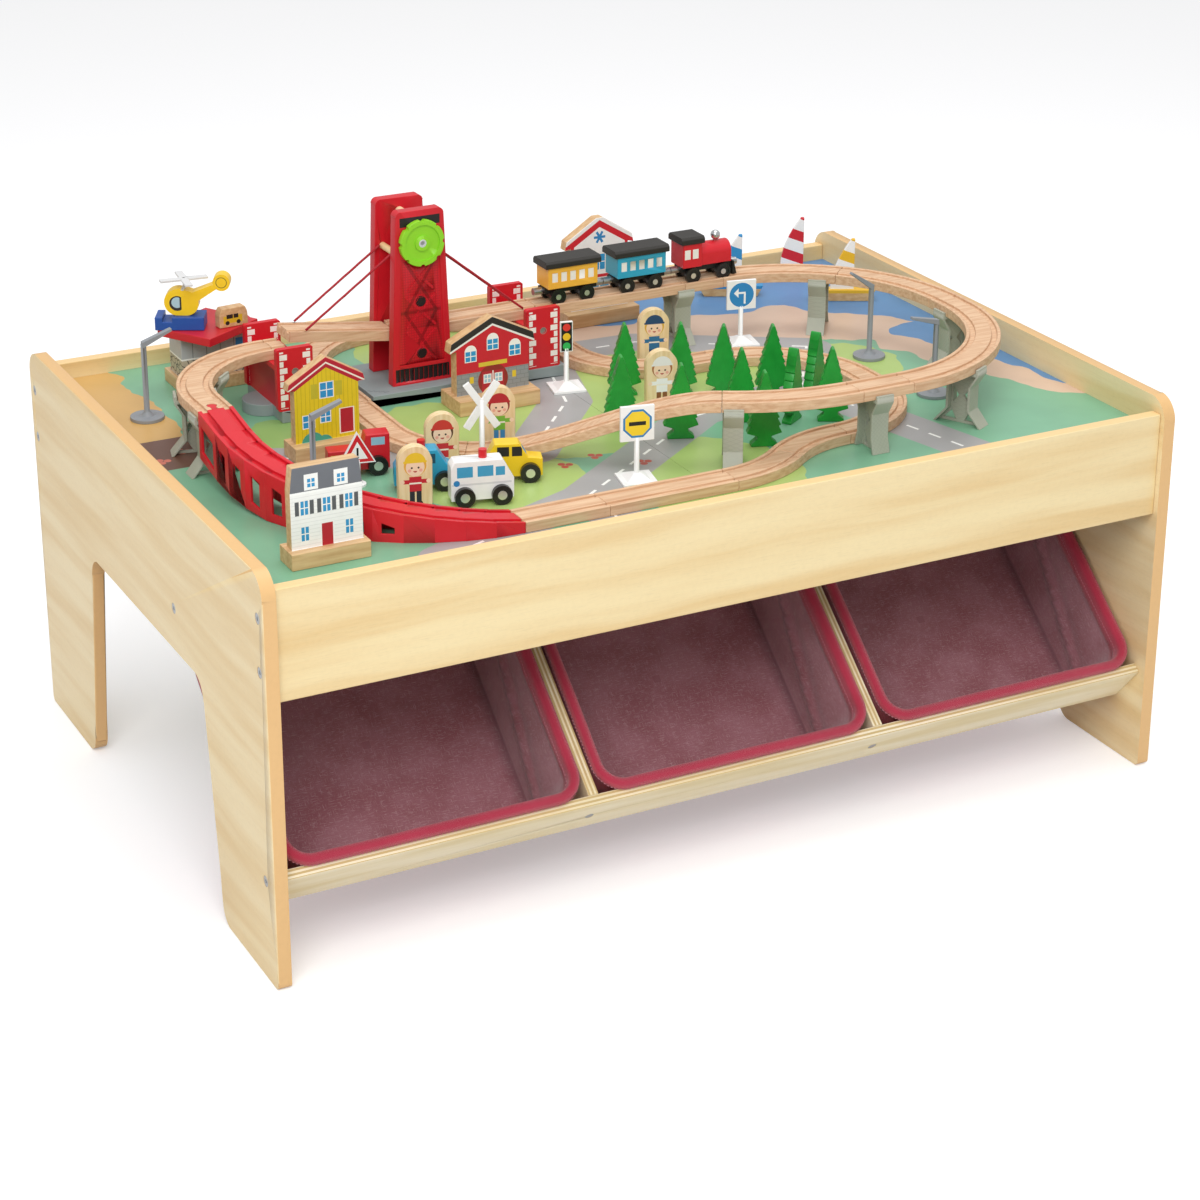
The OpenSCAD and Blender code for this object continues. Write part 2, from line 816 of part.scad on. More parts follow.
module chassis(x, base) {
    difference() {
        union() {
            box_between([x - 35, line_y - 9, axle_z + 4], [x + 35, line_y + 9, body_low]);
            for (s = [-1, 1])
                box_between([x + s * base / 2 - 6, line_y - 9, axle_z - 4],
                    [x + s * base / 2 + 6, line_y + 9, axle_z + 5]);
        }
        for (s = [-1, 1])
            translate([x + s * base / 2, line_y - 20, axle_z]) rotate([-90, 0, 0])
                cylinder(h = 40, r = 2.05);
    }
}

module train_chassis() {
    color(black) {
        for (i = [0 : 2]) chassis(car_x[i], car_base[i]);
        difference() {
            translate([car_x[2], line_y + 13, axle_z]) rotate([90, 0, 0]) linear_extrude(26)
                polygon([[34.8, -6], [41, -6], [37, 11], [34.8, 11]]);
            translate([car_x[2] + 34, line_y, axle_z + 6.5]) rotate([0, 90, 0])
                cylinder(h = 10, r = 4.45);
        }
    }
}

magnet_l = 5;
module train_magnets() {
    color(steel)
        for (i = [0 : 2], s = [-1, 1])
            translate([car_x[i] + s * 35, line_y, axle_z + 6.5]) rotate([0, s * 90, 0])
                cylinder(h = magnet_l + 6, r = 4.4);
}

module wheel_set(d, half, t, pin) {
    rotate([-90, 0, 0]) {
        translate([0, 0, -half - t / 2]) cylinder(h = 2 * half + t, r = pin);
        for (s = [-1, 1])
            difference() {
                translate([0, 0, s * half - t / 2]) cylinder(h = t, d = d);
                translate([0, 0, s * (half + t / 2) - 0.8]) difference() {
                    cylinder(h = 1.6, d = d - 5);
                    translate([0, 0, -1]) cylinder(h = 4, d = d * 0.45);
                }
            }
    }
}

module train_axle(i, s) {
    color(black) translate([car_x[i] + s * car_base[i] / 2, line_y, axle_z])
        wheel_set(wheel_d, gauge, 5, 2);
}

module axle_yellow_rear() { train_axle(0, -1); }
module axle_yellow_front() { train_axle(0, 1); }
module axle_blue_rear() { train_axle(1, -1); }
module axle_blue_front() { train_axle(1, 1); }
module axle_engine_rear() { train_axle(2, -1); }
module axle_engine_front() { train_axle(2, 1); }

// Road vehicles, each with its length along its own X
ambulance_at = [-238, -212, -14];
yellow_car_at = [-182, -168, -20];
blue_car_at = [-274, -148, -20];
truck_at = [-322, -76, -12];
road_axle_z = board_z + road_wheel_d / 2;
road_base = 40;
body_w = 20;

module vehicle_at(at) {
    translate([at[0], at[1], 0]) rotate([0, 0, at[2]]) children();
}

module vehicle_body(outline) {
    difference() {
        translate([0, body_w / 2, board_z]) rotate([90, 0, 0]) linear_extrude(body_w)
            polygon(outline);
        for (s = [-1, 1])
            translate([s * road_base / 2, -body_w, road_axle_z]) rotate([-90, 0, 0])
                cylinder(h = 2 * body_w, r = 2.55);
    }
}

module road_axle(at, s) {
    color(black)
        vehicle_at(at) translate([s * road_base / 2, 0, road_axle_z])
            wheel_set(road_wheel_d, body_w / 2 + 3.4, 6, 2.5);
}

module ambulance_body() {
    vehicle_at(ambulance_at) {
        color(white) vehicle_body([[-34, 6], [34, 6], [34, 28], [22, 50], [-30, 50], [-34, 44]]);
        color(red) translate([2, 0, board_z + 49.5]) cylinder(h = 10, r = 4.5);
    }
}

module ambulance_axle_rear() { road_axle(ambulance_at, -1); }
module ambulance_axle_front() { road_axle(ambulance_at, 1); }

module yellow_car_body() {
    color(yellow) vehicle_at(yellow_car_at)
        vehicle_body([[-34, 6], [34, 6], [34, 26], [18, 28], [8, 44], [-18, 44], [-26, 28], [-34, 24]]);
}

module yellow_car_axle_rear() { road_axle(yellow_car_at, -1); }
module yellow_car_axle_front() { road_axle(yellow_car_at, 1); }

module blue_car_body() {
    vehicle_at(blue_car_at) {
        color(blue) vehicle_body([[-34, 6], [34, 6], [34, 24], [22, 30], [12, 46], [-20, 46],
            [-34, 26]]);
        color(red) translate([-4, 0, board_z + 45.5]) cylinder(h = 9, r = 4.5);
    }
}

module blue_car_axle_rear() { road_axle(blue_car_at, -1); }
module blue_car_axle_front() { road_axle(blue_car_at, 1); }

module truck_body() {
    color(red) vehicle_at(truck_at)
        vehicle_body([[-34, 6], [34, 6], [34, 46], [8, 46], [4, 30], [-34, 30]]);
}

module truck_axle_rear() { road_axle(truck_at, -1); }
module truck_axle_front() { road_axle(truck_at, 1); }

// Buildings: upright slabs on wooden base blocks
module slab(x, y, t, z, outline) {
    translate([x, y + t, z]) rotate([90, 0, 0]) linear_extrude(t) polygon(outline);
}

module houses() {
    base_h = 18;
    z = board_z + base_h;
    color(maple) {
        box_between([-374, -26, board_z], [-286, 10, z]);
        box_between([-486, -296, board_z], [-400, -262, z]);
        box_between([-152, 26, board_z], [-50, 80, z]);
        box_between([98, 246, board_z], [198, 288, z]);
    }
    color(yellow)
        slab(-330, -12, 14, z, [[-38, 0], [38, 0], [38, 62], [46, 62], [44, 70], [0, 96],
            [-44, 70], [-46, 62], [-38, 62]]);
    color(white)
        slab(-443, -286, 14, z, [[-39, 0], [39, 0], [39, 62], [36, 88], [-36, 88], [-39, 62]]);
    color(red)
        slab(-101, 46, 16, z, [[-46, 0], [46, 0], [46, 54], [54, 52], [52, 64], [0, 90],
            [-52, 64], [-54, 52], [-46, 54]]);
    color(white)
        slab(148, 260, 14, z, [[-40, 0], [40, 0], [40, 82], [48, 80], [46, 91], [5, 117],
            [-5, 117], [-46, 91], [-48, 80], [-40, 82]]);
}

// Helicopter station: an upright block with a deck turned on top of it
pad_at = [-369, 256];
pad_turn = 31;
pad_z = board_z + 78;
module helipad() {
    color(blue) translate([heli_at[0], heli_at[1], pad_z + 0.2]) rotate([0, 0, heli_at[2]]) {
        box_between([-27, -15, 0], [30, 15, 10]);
        box_between([-27, -15, 9], [-18, 15, block_h - 0.2]);
        box_between([-7, -15, 9], [30, 15, block_h - 0.2]);
    }
    color(maple) box_between([-410, 242, board_z], [-302, 300, board_z + 16]);
    color(white) box_between([-405, 250, board_z + 15], [-307, 292, pad_z - 9]);
    color(red) translate([pad_at[0], pad_at[1], 0]) rotate([0, 0, pad_turn])
        box_between([-44.5, -39, pad_z - 10], [44.5, 39, pad_z]);
    color(maple)
        translate([-347, 243, pad_z + 0.2]) rotate([90, 0, 5]) linear_extrude(13) {
            translate([-18, 0]) square([36, 12]);
            translate([0, 12]) intersection() {
                circle(18, $fn = 60);
                translate([-18, 0]) square([36, 11]);
            }
        }
}

heli_at = [-402, 258, -27];
block_h = 16;
rotor_z = pad_z + 57;
mast_dx = 7;
module helicopter_body() {
    translate([heli_at[0], heli_at[1], pad_z]) rotate([0, 0, heli_at[2]]) {
        color(yellow) {
            translate([0, 8, block_h + 0.2]) rotate([90, 0, 0]) linear_extrude(16) {
                translate([0, 16]) circle(16);
                translate([9, 15]) circle(15);
                polygon([[-3, 0], [9, 0], [15, 12], [48, 34], [46, 39], [12, 26], [4, 29.4]]);
            }
            translate([51, 8, block_h + 40]) rotate([90, 0, 0]) cylinder(h = 16, r = 10);
        }
        color(steel) translate([mast_dx, 0, block_h + 24]) cylinder(h = 19, r = 1.5);
    }
}

module helicopter_rotor() {
    color(white)
        translate([heli_at[0], heli_at[1], rotor_z]) rotate([0, 0, heli_at[2]])
            translate([mast_dx, 0, 0]) difference() {
                union() {
                    cylinder(h = 3, r = 6);
                    for (i = [0 : 1])
                        rotate([0, 0, 20 + 90 * i]) translate([-28, -4.5, 0]) cube([56, 9, 2.6]);
                }
                translate([0, 0, -1]) cylinder(h = 6, r = 1.58);
            }
}

// Trees, figures, signs, lamps and boats
tree_spots = [[51, 10, -20], [110, -18, -25], [151, -46, -30], [202, -72, -22],
    [233, -116, 32], [128, -128, -24], [181, -153, 34], [221, -172, -28], [113, -205, -20],
    [-5, -87, -16], [42, -142, -22]];
tree_teeth = 8;
function tree_half(z) = tree_w / 2
    * (1 - 0.92 * pow((z - 16) / (tree_h - 16), 1.3));
module pine_2d() {
    tooth = (tree_h - 16) / tree_teeth;
    edge = [for (i = [0 : tree_teeth - 1], k = [0, 1])
        let (z = 16 + i * tooth + (k == 0 ? 0 : tooth * 0.9))
        [k == 0 ? tree_half(z) : 0.84 * tree_half(z), z]];
    half = concat([[15, 0], [15, 3], [8, 9], [8, 12]], edge, [[0, tree_h]]);
    polygon(concat(half, reversed([for (q = half) [-q[0], q[1]]])));
}

module trees() {
    color(green)
        for (p = tree_spots)
            translate([p[0], p[1], board_z]) rotate([0, 0, p[2]]) translate([0, 6, 0])
                rotate([90, 0, 0]) linear_extrude(12) pine_2d();
}

figure_spots = [[-305, -190], [-239, -114], [-148, -66], [72, -40], [135, 95]];
module figures() {
    t = 12;
    color(maple)
        for (p = figure_spots)
            translate([p[0], p[1], board_z]) rotate([0, 0, -14]) translate([0, t / 2, 0])
                rotate([90, 0, 0]) linear_extrude(t) {
                    translate([-figure_w / 2, 0]) square([figure_w, figure_h - figure_w / 2]);
                    translate([0, figure_h - figure_w / 2]) circle(figure_w / 2);
                }
}

module post(h) {
    cylinder(h = h, r = 3);
}

module square_foot() {
    foot = 39;
    translate([-foot / 2, -foot / 2, 0]) cube([foot, foot, 3]);
    rotate([0, 0, 45]) translate([0, 0, 2.5]) cylinder(h = 7, r1 = 20, r2 = 5, $fn = 4);
}

module round_foot(r) {
    cylinder(h = 3, r = r);
    translate([0, 0, 2.5]) cylinder(h = 4, r1 = r * 0.6, r2 = 4);
}

sign_turn = -12;
module plate(w, z0, z1) {
    sign_t = 4;
    box_between([-w / 2, -sign_t / 2, z0], [w / 2, sign_t / 2, z1]);
}

module at_sign(x, y) {
    translate([x, y, board_z]) rotate([0, 0, sign_turn]) children();
}

module road_signs() {
    color(white) {
        at_sign(0, 59) {
            square_foot();
            post(50);
            plate(15, 46, 83);
        }
        at_sign(-63, -234) {
            square_foot();
            post(50);
            plate(38, 46, 86);
        }
        at_sign(264, 108) {
            square_foot();
            post(48);
            plate(37, 44, 81);
        }
        at_sign(-197, -128) {
            round_foot(9);
            post(80);
            for (s = [-1, 1])
                translate([0, 2, 74]) rotate([90, 0, 0]) rotate([0, 0, s * 56])
                    linear_extrude(4) square([62, 8], center = true);
        }
        at_sign(-337, -112) {
            round_foot(9);
            post(30);
            translate([0, 2, 26]) rotate([90, 0, 0]) linear_extrude(4)
                polygon([[-20, 0], [20, 0], [0, 36]]);
        }
    }
}

lamp_spots = [[-471, 186, 0, 20], [-390, -118, 0, 20], [377, -8, 180, 34],
    [373, -154, 180, 14]];
module street_lamps() {
    lamp_h = 90;
    arm_l = 36;
    color(grey)
        for (p = lamp_spots)
            translate([p[0], p[1], board_z]) rotate([0, 0, p[2]]) {
                cylinder(h = 4, r = 19.5);
                cylinder(h = lamp_h, r = 3.2);
                translate([0, 0, 3.5]) cylinder(h = 6, r1 = 8, r2 = 3.2);
                translate([0, 3.2, lamp_h]) rotate([90, -p[3], 0]) linear_extrude(6.4)
                    polygon([[-3.2, -3.5], [arm_l, -1], [arm_l, 2], [-1, 3.2]]);
            }
}

boat_spots = [[347, 277], [457, 306], [466, 196]];
boat_h = 82;
module sail_boats() {
    hull_h = 15;
    hull_t = 15;
    sail_w = 30;
    leech = [for (i = [0 : 8]) let (t = 1 - i / 8)
        [10 - (sail_w - 4) * (1 - pow(t, 1.9)), (boat_h - hull_h) * t]];
    for (p = boat_spots)
        translate([p[0], p[1], board_z]) rotate([0, 0, -27]) {
            color(maple) translate([0, hull_t / 2, 0]) rotate([90, 0, 0])
                linear_extrude(hull_t)
                    polygon([[-34, 0], [34, 0], [42, hull_h], [-42, hull_h]]);
            color(white) translate([0, 3, hull_h - 0.5]) rotate([90, 0, 0])
                linear_extrude(6) polygon(concat([[14, 0], [14, boat_h - hull_h]], leech));
        }
}

end_panels();
aprons();
playboard();
battens();
bin_rails();
bin_dividers();
screws();
bin_left();
bin_middle();
bin_right();
upper_track_left();
upper_track_right();
climbing_track();
ground_track();
plastic_ramp();
risers();
bridge_base();
bridge_piers();
tower_plates();
bridge_deck();
tower_dowels();
hinge_pins();
winch();
leaf_left();
leaf_right();
lift_cords_left();
lift_cords_right();
train_bodies();
train_roofs();
train_chassis();
train_magnets();
axle_yellow_rear();
axle_yellow_front();
axle_blue_rear();
axle_blue_front();
axle_engine_rear();
axle_engine_front();
ambulance_body();
ambulance_axle_rear();
ambulance_axle_front();
yellow_car_body();
yellow_car_axle_rear();
yellow_car_axle_front();
blue_car_body();
blue_car_axle_rear();
blue_car_axle_front();
truck_body();
truck_axle_rear();
truck_axle_front();
houses();
helipad();
helicopter_body();
helicopter_rotor();
trees();
figures();
road_signs();
street_lamps();
sail_boats();
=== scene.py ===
import json
import math
import bmesh
import bpy
import numpy as np
from mathutils import Matrix, Vector


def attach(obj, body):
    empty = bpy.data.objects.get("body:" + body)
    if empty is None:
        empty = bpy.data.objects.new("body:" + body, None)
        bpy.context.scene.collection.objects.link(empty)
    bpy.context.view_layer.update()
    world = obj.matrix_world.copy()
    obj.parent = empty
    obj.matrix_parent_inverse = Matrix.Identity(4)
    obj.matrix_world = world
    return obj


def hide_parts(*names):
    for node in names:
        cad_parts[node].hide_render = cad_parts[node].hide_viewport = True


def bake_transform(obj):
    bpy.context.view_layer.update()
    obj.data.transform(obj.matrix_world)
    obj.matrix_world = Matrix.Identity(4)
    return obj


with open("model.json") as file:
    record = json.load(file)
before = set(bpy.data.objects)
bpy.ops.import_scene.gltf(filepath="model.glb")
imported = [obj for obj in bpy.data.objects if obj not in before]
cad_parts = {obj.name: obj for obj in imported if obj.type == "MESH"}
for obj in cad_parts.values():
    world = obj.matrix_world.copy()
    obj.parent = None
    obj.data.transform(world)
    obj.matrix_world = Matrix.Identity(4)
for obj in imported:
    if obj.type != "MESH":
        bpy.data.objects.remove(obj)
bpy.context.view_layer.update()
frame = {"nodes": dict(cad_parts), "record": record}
scene = bpy.context.scene

# Shared lengths in millimetres: top of the playboard, straight track line, tower and bin pose.
board_z = 422
line_y = 155
tower_x = -157
bin_tilt = math.radians(40)
bin_y, bin_z = -240.4, 226.5

# Camera: the photograph's viewpoint, left of the middle and about 21 degrees above the table.
camera_data = bpy.data.cameras.new("camera")
camera_data.lens = 85.993
camera_data.sensor_width = 36
camera_data.shift_y = -0.12
camera_data.clip_end = 50
camera = bpy.data.objects.new("camera", camera_data)
scene.collection.objects.link(camera)
camera.location = (-1.42624, -2.76665, 1.57505)
camera.rotation_euler = (Matrix.Rotation(-0.48003, 3, "Z")
                         @ Matrix.Rotation(math.pi / 2 - 0.37294, 3, "X")
                         @ Matrix.Rotation(0.00321, 3, "Z")).to_euler()
scene.camera = camera


# Shader building: a socket that takes part in Python expressions, and one class for a material.
def linear(code):
    """Scene-linear RGBA of a six-digit sRGB code."""
    rgb = [int(code[i:i + 2], 16) / 255 for i in (0, 2, 4)]
    return tuple(c / 12.92 if c <= 0.04045 else ((c + 0.055) / 1.055) ** 2.4 for c in rgb) + (1,)


class Sock:
    def __init__(self, tree, out):
        self.tree, self.out = tree, out

    def math(self, kind, *others):
        n = self.tree.nodes.new("ShaderNodeMath")
        n.operation = kind
        for i, value in enumerate((self,) + others):
            plug(self.tree, n.inputs[i], value)
        return Sock(self.tree, n.outputs[0])

    def __add__(self, o):
        return self.math("ADD", o)

    def __sub__(self, o):
        return self.math("SUBTRACT", o)

    def __rsub__(self, o):
        return self.math("MULTIPLY", -1).math("ADD", o)

    def __mul__(self, o):
        return self.math("MULTIPLY", o)

    def __truediv__(self, o):
        return self.math("DIVIDE", o)

    def __mod__(self, o):
        return self.math("FLOORED_MODULO", o)

    def __pow__(self, o):
        return self.math("POWER", o)

    def __abs__(self):
        return self.math("ABSOLUTE")

    def __lt__(self, o):
        return self.math("LESS_THAN", o)

    def __gt__(self, o):
        return self.math("GREATER_THAN", o)

    def __and__(self, o):
        return self.math("MULTIPLY", o)

    def __or__(self, o):
        return self.math("MAXIMUM", o)

    def lesser(self, o):
        return self.math("MINIMUM", o)

    def cycle(self, length):
        """Distance from the middle of each of a row of cells of this length."""
        return (self + length / 2) % length - length / 2

    def ramp(self, low, high):
        n = self.tree.nodes.new("ShaderNodeMapRange")
        n.interpolation_type = "SMOOTHSTEP"
        plug(self.tree, n.inputs["Value"], self)
        n.inputs["From Min"].default_value = low
        n.inputs["From Max"].default_value = high
        return Sock(self.tree, n.outputs[0])

    __radd__ = __add__
    __rmul__ = __mul__


def plug(tree, socket, value):
    if isinstance(value, Sock):
        tree.links.new(value.out, socket)
    else:
        socket.default_value = value


class Paint:
    """One material: sockets in millimetres of the shared frame, layers of colour and a finish."""

    def __init__(self, name, base="ffffff"):
        self.material = bpy.data.materials.new(name)
        self.material.use_nodes = True
        self.tree = self.material.node_tree
        self.bsdf = self.tree.nodes["Principled BSDF"]
        spot = self.node("TexCoord", out="Object")
        split = self.node("SeparateXYZ", out=None, Vector=spot)
        self.x, self.y, self.z = [Sock(self.tree, o) * 1000 for o in split.outputs]
        turn = self.node("SeparateXYZ", out=None, Vector=self.node("NewGeometry", out="Normal"))
        self.nx, self.ny, self.nz = [Sock(self.tree, o) for o in turn.outputs]
        self.colour = linear(base)

    def node(self, kind, settings=None, out=0, **sockets):
        n = self.tree.nodes.new("ShaderNode" + kind)
        for key, value in (settings or {}).items():
            setattr(n, key, value)
        for key, value in sockets.items():
            plug(self.tree, n.inputs[key.replace("_", " ")], value)
        return n if out is None else Sock(self.tree, n.outputs[out])

    def vec(self, x, y, z):
        return self.node("CombineXYZ", X=x, Y=y, Z=z)

    def noise(self, x, y, z, detail=3, rough=0.5):
        """Noise over coordinates already scaled to one cell per unit."""
        return self.node("TexNoise", Vector=self.vec(x, y, z), Scale=1, Detail=detail,
                         Roughness=rough)

    def grain(self, size, detail=3):
        return self.noise(self.x / size, self.y / size, self.z / size, detail)

    def mix(self, fac, a, b):
        n = self.node("Mix", {"data_type": "RGBA"}, out=None)
        plug(self.tree, n.inputs[0], fac)
        plug(self.tree, n.inputs[6], a)
        plug(self.tree, n.inputs[7], b)
        return Sock(self.tree, n.outputs[2])

    def lay(self, mask, code):
        """A coat of colour where the mask is 1."""
        self.colour = self.mix(mask, self.colour, linear(code) if isinstance(code, str) else code)

    def shade(self, fac, amount):
        """The colour multiplied by amount where fac is 1."""
        n = self.node("Mix", {"data_type": "RGBA", "blend_type": "MULTIPLY"}, out=None)
        plug(self.tree, n.inputs[0], fac)
        plug(self.tree, n.inputs[6], self.colour)
        n.inputs[7].default_value = (amount, amount, amount, 1)
        self.colour = Sock(self.tree, n.outputs[2])

    def local(self, x, y, z=0, turn=0):
        """Sockets along, across and up from a point, in millimetres."""
        c, s = math.cos(math.radians(turn)), math.sin(math.radians(turn))
        dx, dy = self.x - x, self.y - y
        return dx * c + dy * s, dy * c - dx * s, self.z - z

    def facing(self, turn=0, side=-1, least=0.6):
        """1 on faces that look to the -Y side of a piece turned by this angle."""
        c, s = math.cos(math.radians(turn)), math.sin(math.radians(turn))
        return ((self.ny * c - self.nx * s) * side) > least

    def done(self, roughness=0.5, height=None, depth=0.0002, strength=0.5, coat=0.0,
             metallic=0.0, sheen=0.0, ior=1.45):
        t = self.tree
        plug(t, self.bsdf.inputs["Base Color"], self.colour)
        plug(t, self.bsdf.inputs["Roughness"], roughness)
        plug(t, self.bsdf.inputs["Metallic"], metallic)
        self.bsdf.inputs["Coat Weight"].default_value = coat
        self.bsdf.inputs["Coat Roughness"].default_value = 0.25
        self.bsdf.inputs["Sheen Weight"].default_value = sheen
        self.bsdf.inputs["IOR"].default_value = ior
        if height is not None:
            bump = self.node("Bump", out=None, Strength=strength, Distance=depth, Height=height)
            t.links.new(bump.outputs[0], self.bsdf.inputs["Normal"])
        return self.material


def rect(u, v, cx, cy, w, h):
    return (abs(u - cx) < w / 2) & (abs(v - cy) < h / 2)


def disc(u, v, cx, cy, r):
    return ((u - cx) * (u - cx) + (v - cy) * (v - cy)) < r * r


# Meshes: loose CAD solids are copied out of a node, cleaned and given worn edges.
def add_object(name, mesh, body="root"):
    obj = bpy.data.objects.new(name, mesh)
    scene.collection.objects.link(obj)
    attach(obj, body)
    return obj


def applied(obj):
    """The object's mesh with its modifiers made plain."""
    graph = bpy.context.evaluated_depsgraph_get()
    mesh = bpy.data.meshes.new_from_object(obj.evaluated_get(graph))
    obj.modifiers.clear()
    old, obj.data = obj.data, mesh
    mesh.name = obj.name
    bpy.data.meshes.remove(old)
    return obj


def mesh_from(bm, name):
    """The finished bmesh as a mesh, its faces turned outward."""
    bmesh.ops.recalc_face_normals(bm, faces=bm.faces)
    mesh = bpy.data.meshes.new(name)
    bm.to_mesh(mesh)
    bm.free()
    return mesh


def solids_of(node):
    """The node's mesh as bmesh, doubles merged and flat faces joined, split in islands of faces."""
    bm = bmesh.new()
    bm.from_mesh(frame["nodes"][node].data)
    bmesh.ops.remove_doubles(bm, verts=bm.verts, dist=2e-6)
    bmesh.ops.dissolve_limit(bm, angle_limit=math.radians(0.6), verts=bm.verts, edges=bm.edges)
    bm.faces.ensure_lookup_table()
    seen, islands = set(), []
    for face in bm.faces:
        if face.index in seen:
            continue
        stack, island = [face], []
        seen.add(face.index)
        while stack:
            f = stack.pop()
            island.append(f)
            for e in f.edges:
                for g in e.link_faces:
                    if g.index not in seen:
                        seen.add(g.index)
                        stack.append(g)
        islands.append(island)
    return bm, islands


def middle(faces):
    co = np.array([v.co for f in faces for v in f.verts])
    return (co.min(0) + co.max(0)) * 500


def take(node, name, material, edge=0.6, near=None, body=None, reach=30, smooth=32):
    """A copy of a node, or of its solids whose middle lies near a point in millimetres, with
    edges rounded by this width."""
    bm, islands = solids_of(node)
    if near is not None:
        drop = [f for isle in islands for f in isle
                if (Vector(middle(isle)[:2]) - Vector(near[:2])).length > reach]
        bmesh.ops.delete(bm, geom=drop, context="FACES")
    weight = bm.edges.layers.float.new("bevel_weight_edge")
    thin = {f for f in bm.faces if f.calc_area() * 2000 < 1.5 * edge * f.calc_perimeter()}
    for e in bm.edges:
        if thin.intersection(e.link_faces):
            continue
        if len(e.link_faces) == 2 and e.calc_face_angle() > math.radians(30) \
                and e.calc_length() > edge * 0.0016:
            e[weight] = 1
    mesh = bpy.data.meshes.new(name)
    bm.to_mesh(mesh)
    bm.free()
    for p in mesh.polygons:
        p.use_smooth = True
    mesh.set_sharp_from_angle(angle=math.radians(smooth))
    obj = add_object(name, mesh, body or body_with(node))
    if edge:
        bevel = obj.modifiers.new("edge", "BEVEL")
        bevel.width = edge / 1000
        bevel.segments = 2
        bevel.limit_method = "WEIGHT"
        bevel.use_clamp_overlap = False
        bevel.harden_normals = True
        applied(obj)
    obj.data.materials.clear()
    obj.data.materials.append(material)
    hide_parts(node)
    return obj


body_of = {n: b for b, nodes in frame["record"]["behaviour"]["bodies"].items() for n in nodes}


def body_with(node):
    return body_of.get(node, "root")


# Lifting cords: four taut red cords of twisted yarn from the tower's guide dowels to the leaf tips.
def cord_paint():
    p = Paint("cord_red")
    twist = (p.x * 0.9 + p.z * 1.1 + p.y * 1.6) % 1.6
    strand = abs(twist - 0.8) / 0.8
    # Painted shade: the red is darker in the low middle of each twist, the grooves between the
    # strands.
    p.colour = p.mix(strand, linear("8f1420"), linear("c9303c"))
    return p.done(0.75, height=strand, depth=0.0004, strength=0.7)


def make_cords():
    material = cord_paint()
    tip = 108.7
    for side, rise, body in ((-1, 8, "leaf_left"), (1, 0, "leaf_right")):
        c, s = math.cos(math.radians(rise)), math.sin(math.radians(rise))
        for k, across in enumerate((-18, 18)):
            low = Vector((tower_x + side * (30 + tip * c - 7.6 * s), line_y + across,
                          493 + tip * s + 7.6 * c)) / 1000
            high = Vector((tower_x + side * 27.6, line_y + across, 592)) / 1000
            path = [low.lerp(high, i / 24) for i in range(25)]
            rings, turns = [], 10
            along = (high - low).normalized()
            out = along.cross(Vector((0, 1, 0))).normalized()
            up = along.cross(out)
            bm = bmesh.new()
            for i, q in enumerate(path):
                ring = []
                for j in range(turns):
                    a = 2 * math.pi * j / turns
                    r = 0.0014 * (1 - 0.06 * math.cos(3 * a + i * 1.3))
                    ring.append(bm.verts.new(q + out * r * math.cos(a) + up * r * math.sin(a)))
                rings.append(ring)
            for a, b in zip(rings, rings[1:]):
                for j in range(turns):
                    bm.faces.new((a[j], a[(j + 1) % turns], b[(j + 1) % turns], b[j]))
            for ring, flip in ((rings[0], True), (rings[-1], False)):
                bm.faces.new(ring[::-1] if flip else ring)
            mesh = mesh_from(bm, "cord")
            for q in mesh.polygons:
                q.use_smooth = True
            mesh.materials.append(material)
            name = "lift_cord_%s_%s" % (body.split("_")[1], "front" if k == 0 else "back")
            obj = bpy.data.objects.new(name, mesh)
            scene.collection.objects.link(obj)
            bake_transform(obj)
            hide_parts("lift_cords_" + body.split("_")[1])


make_cords()


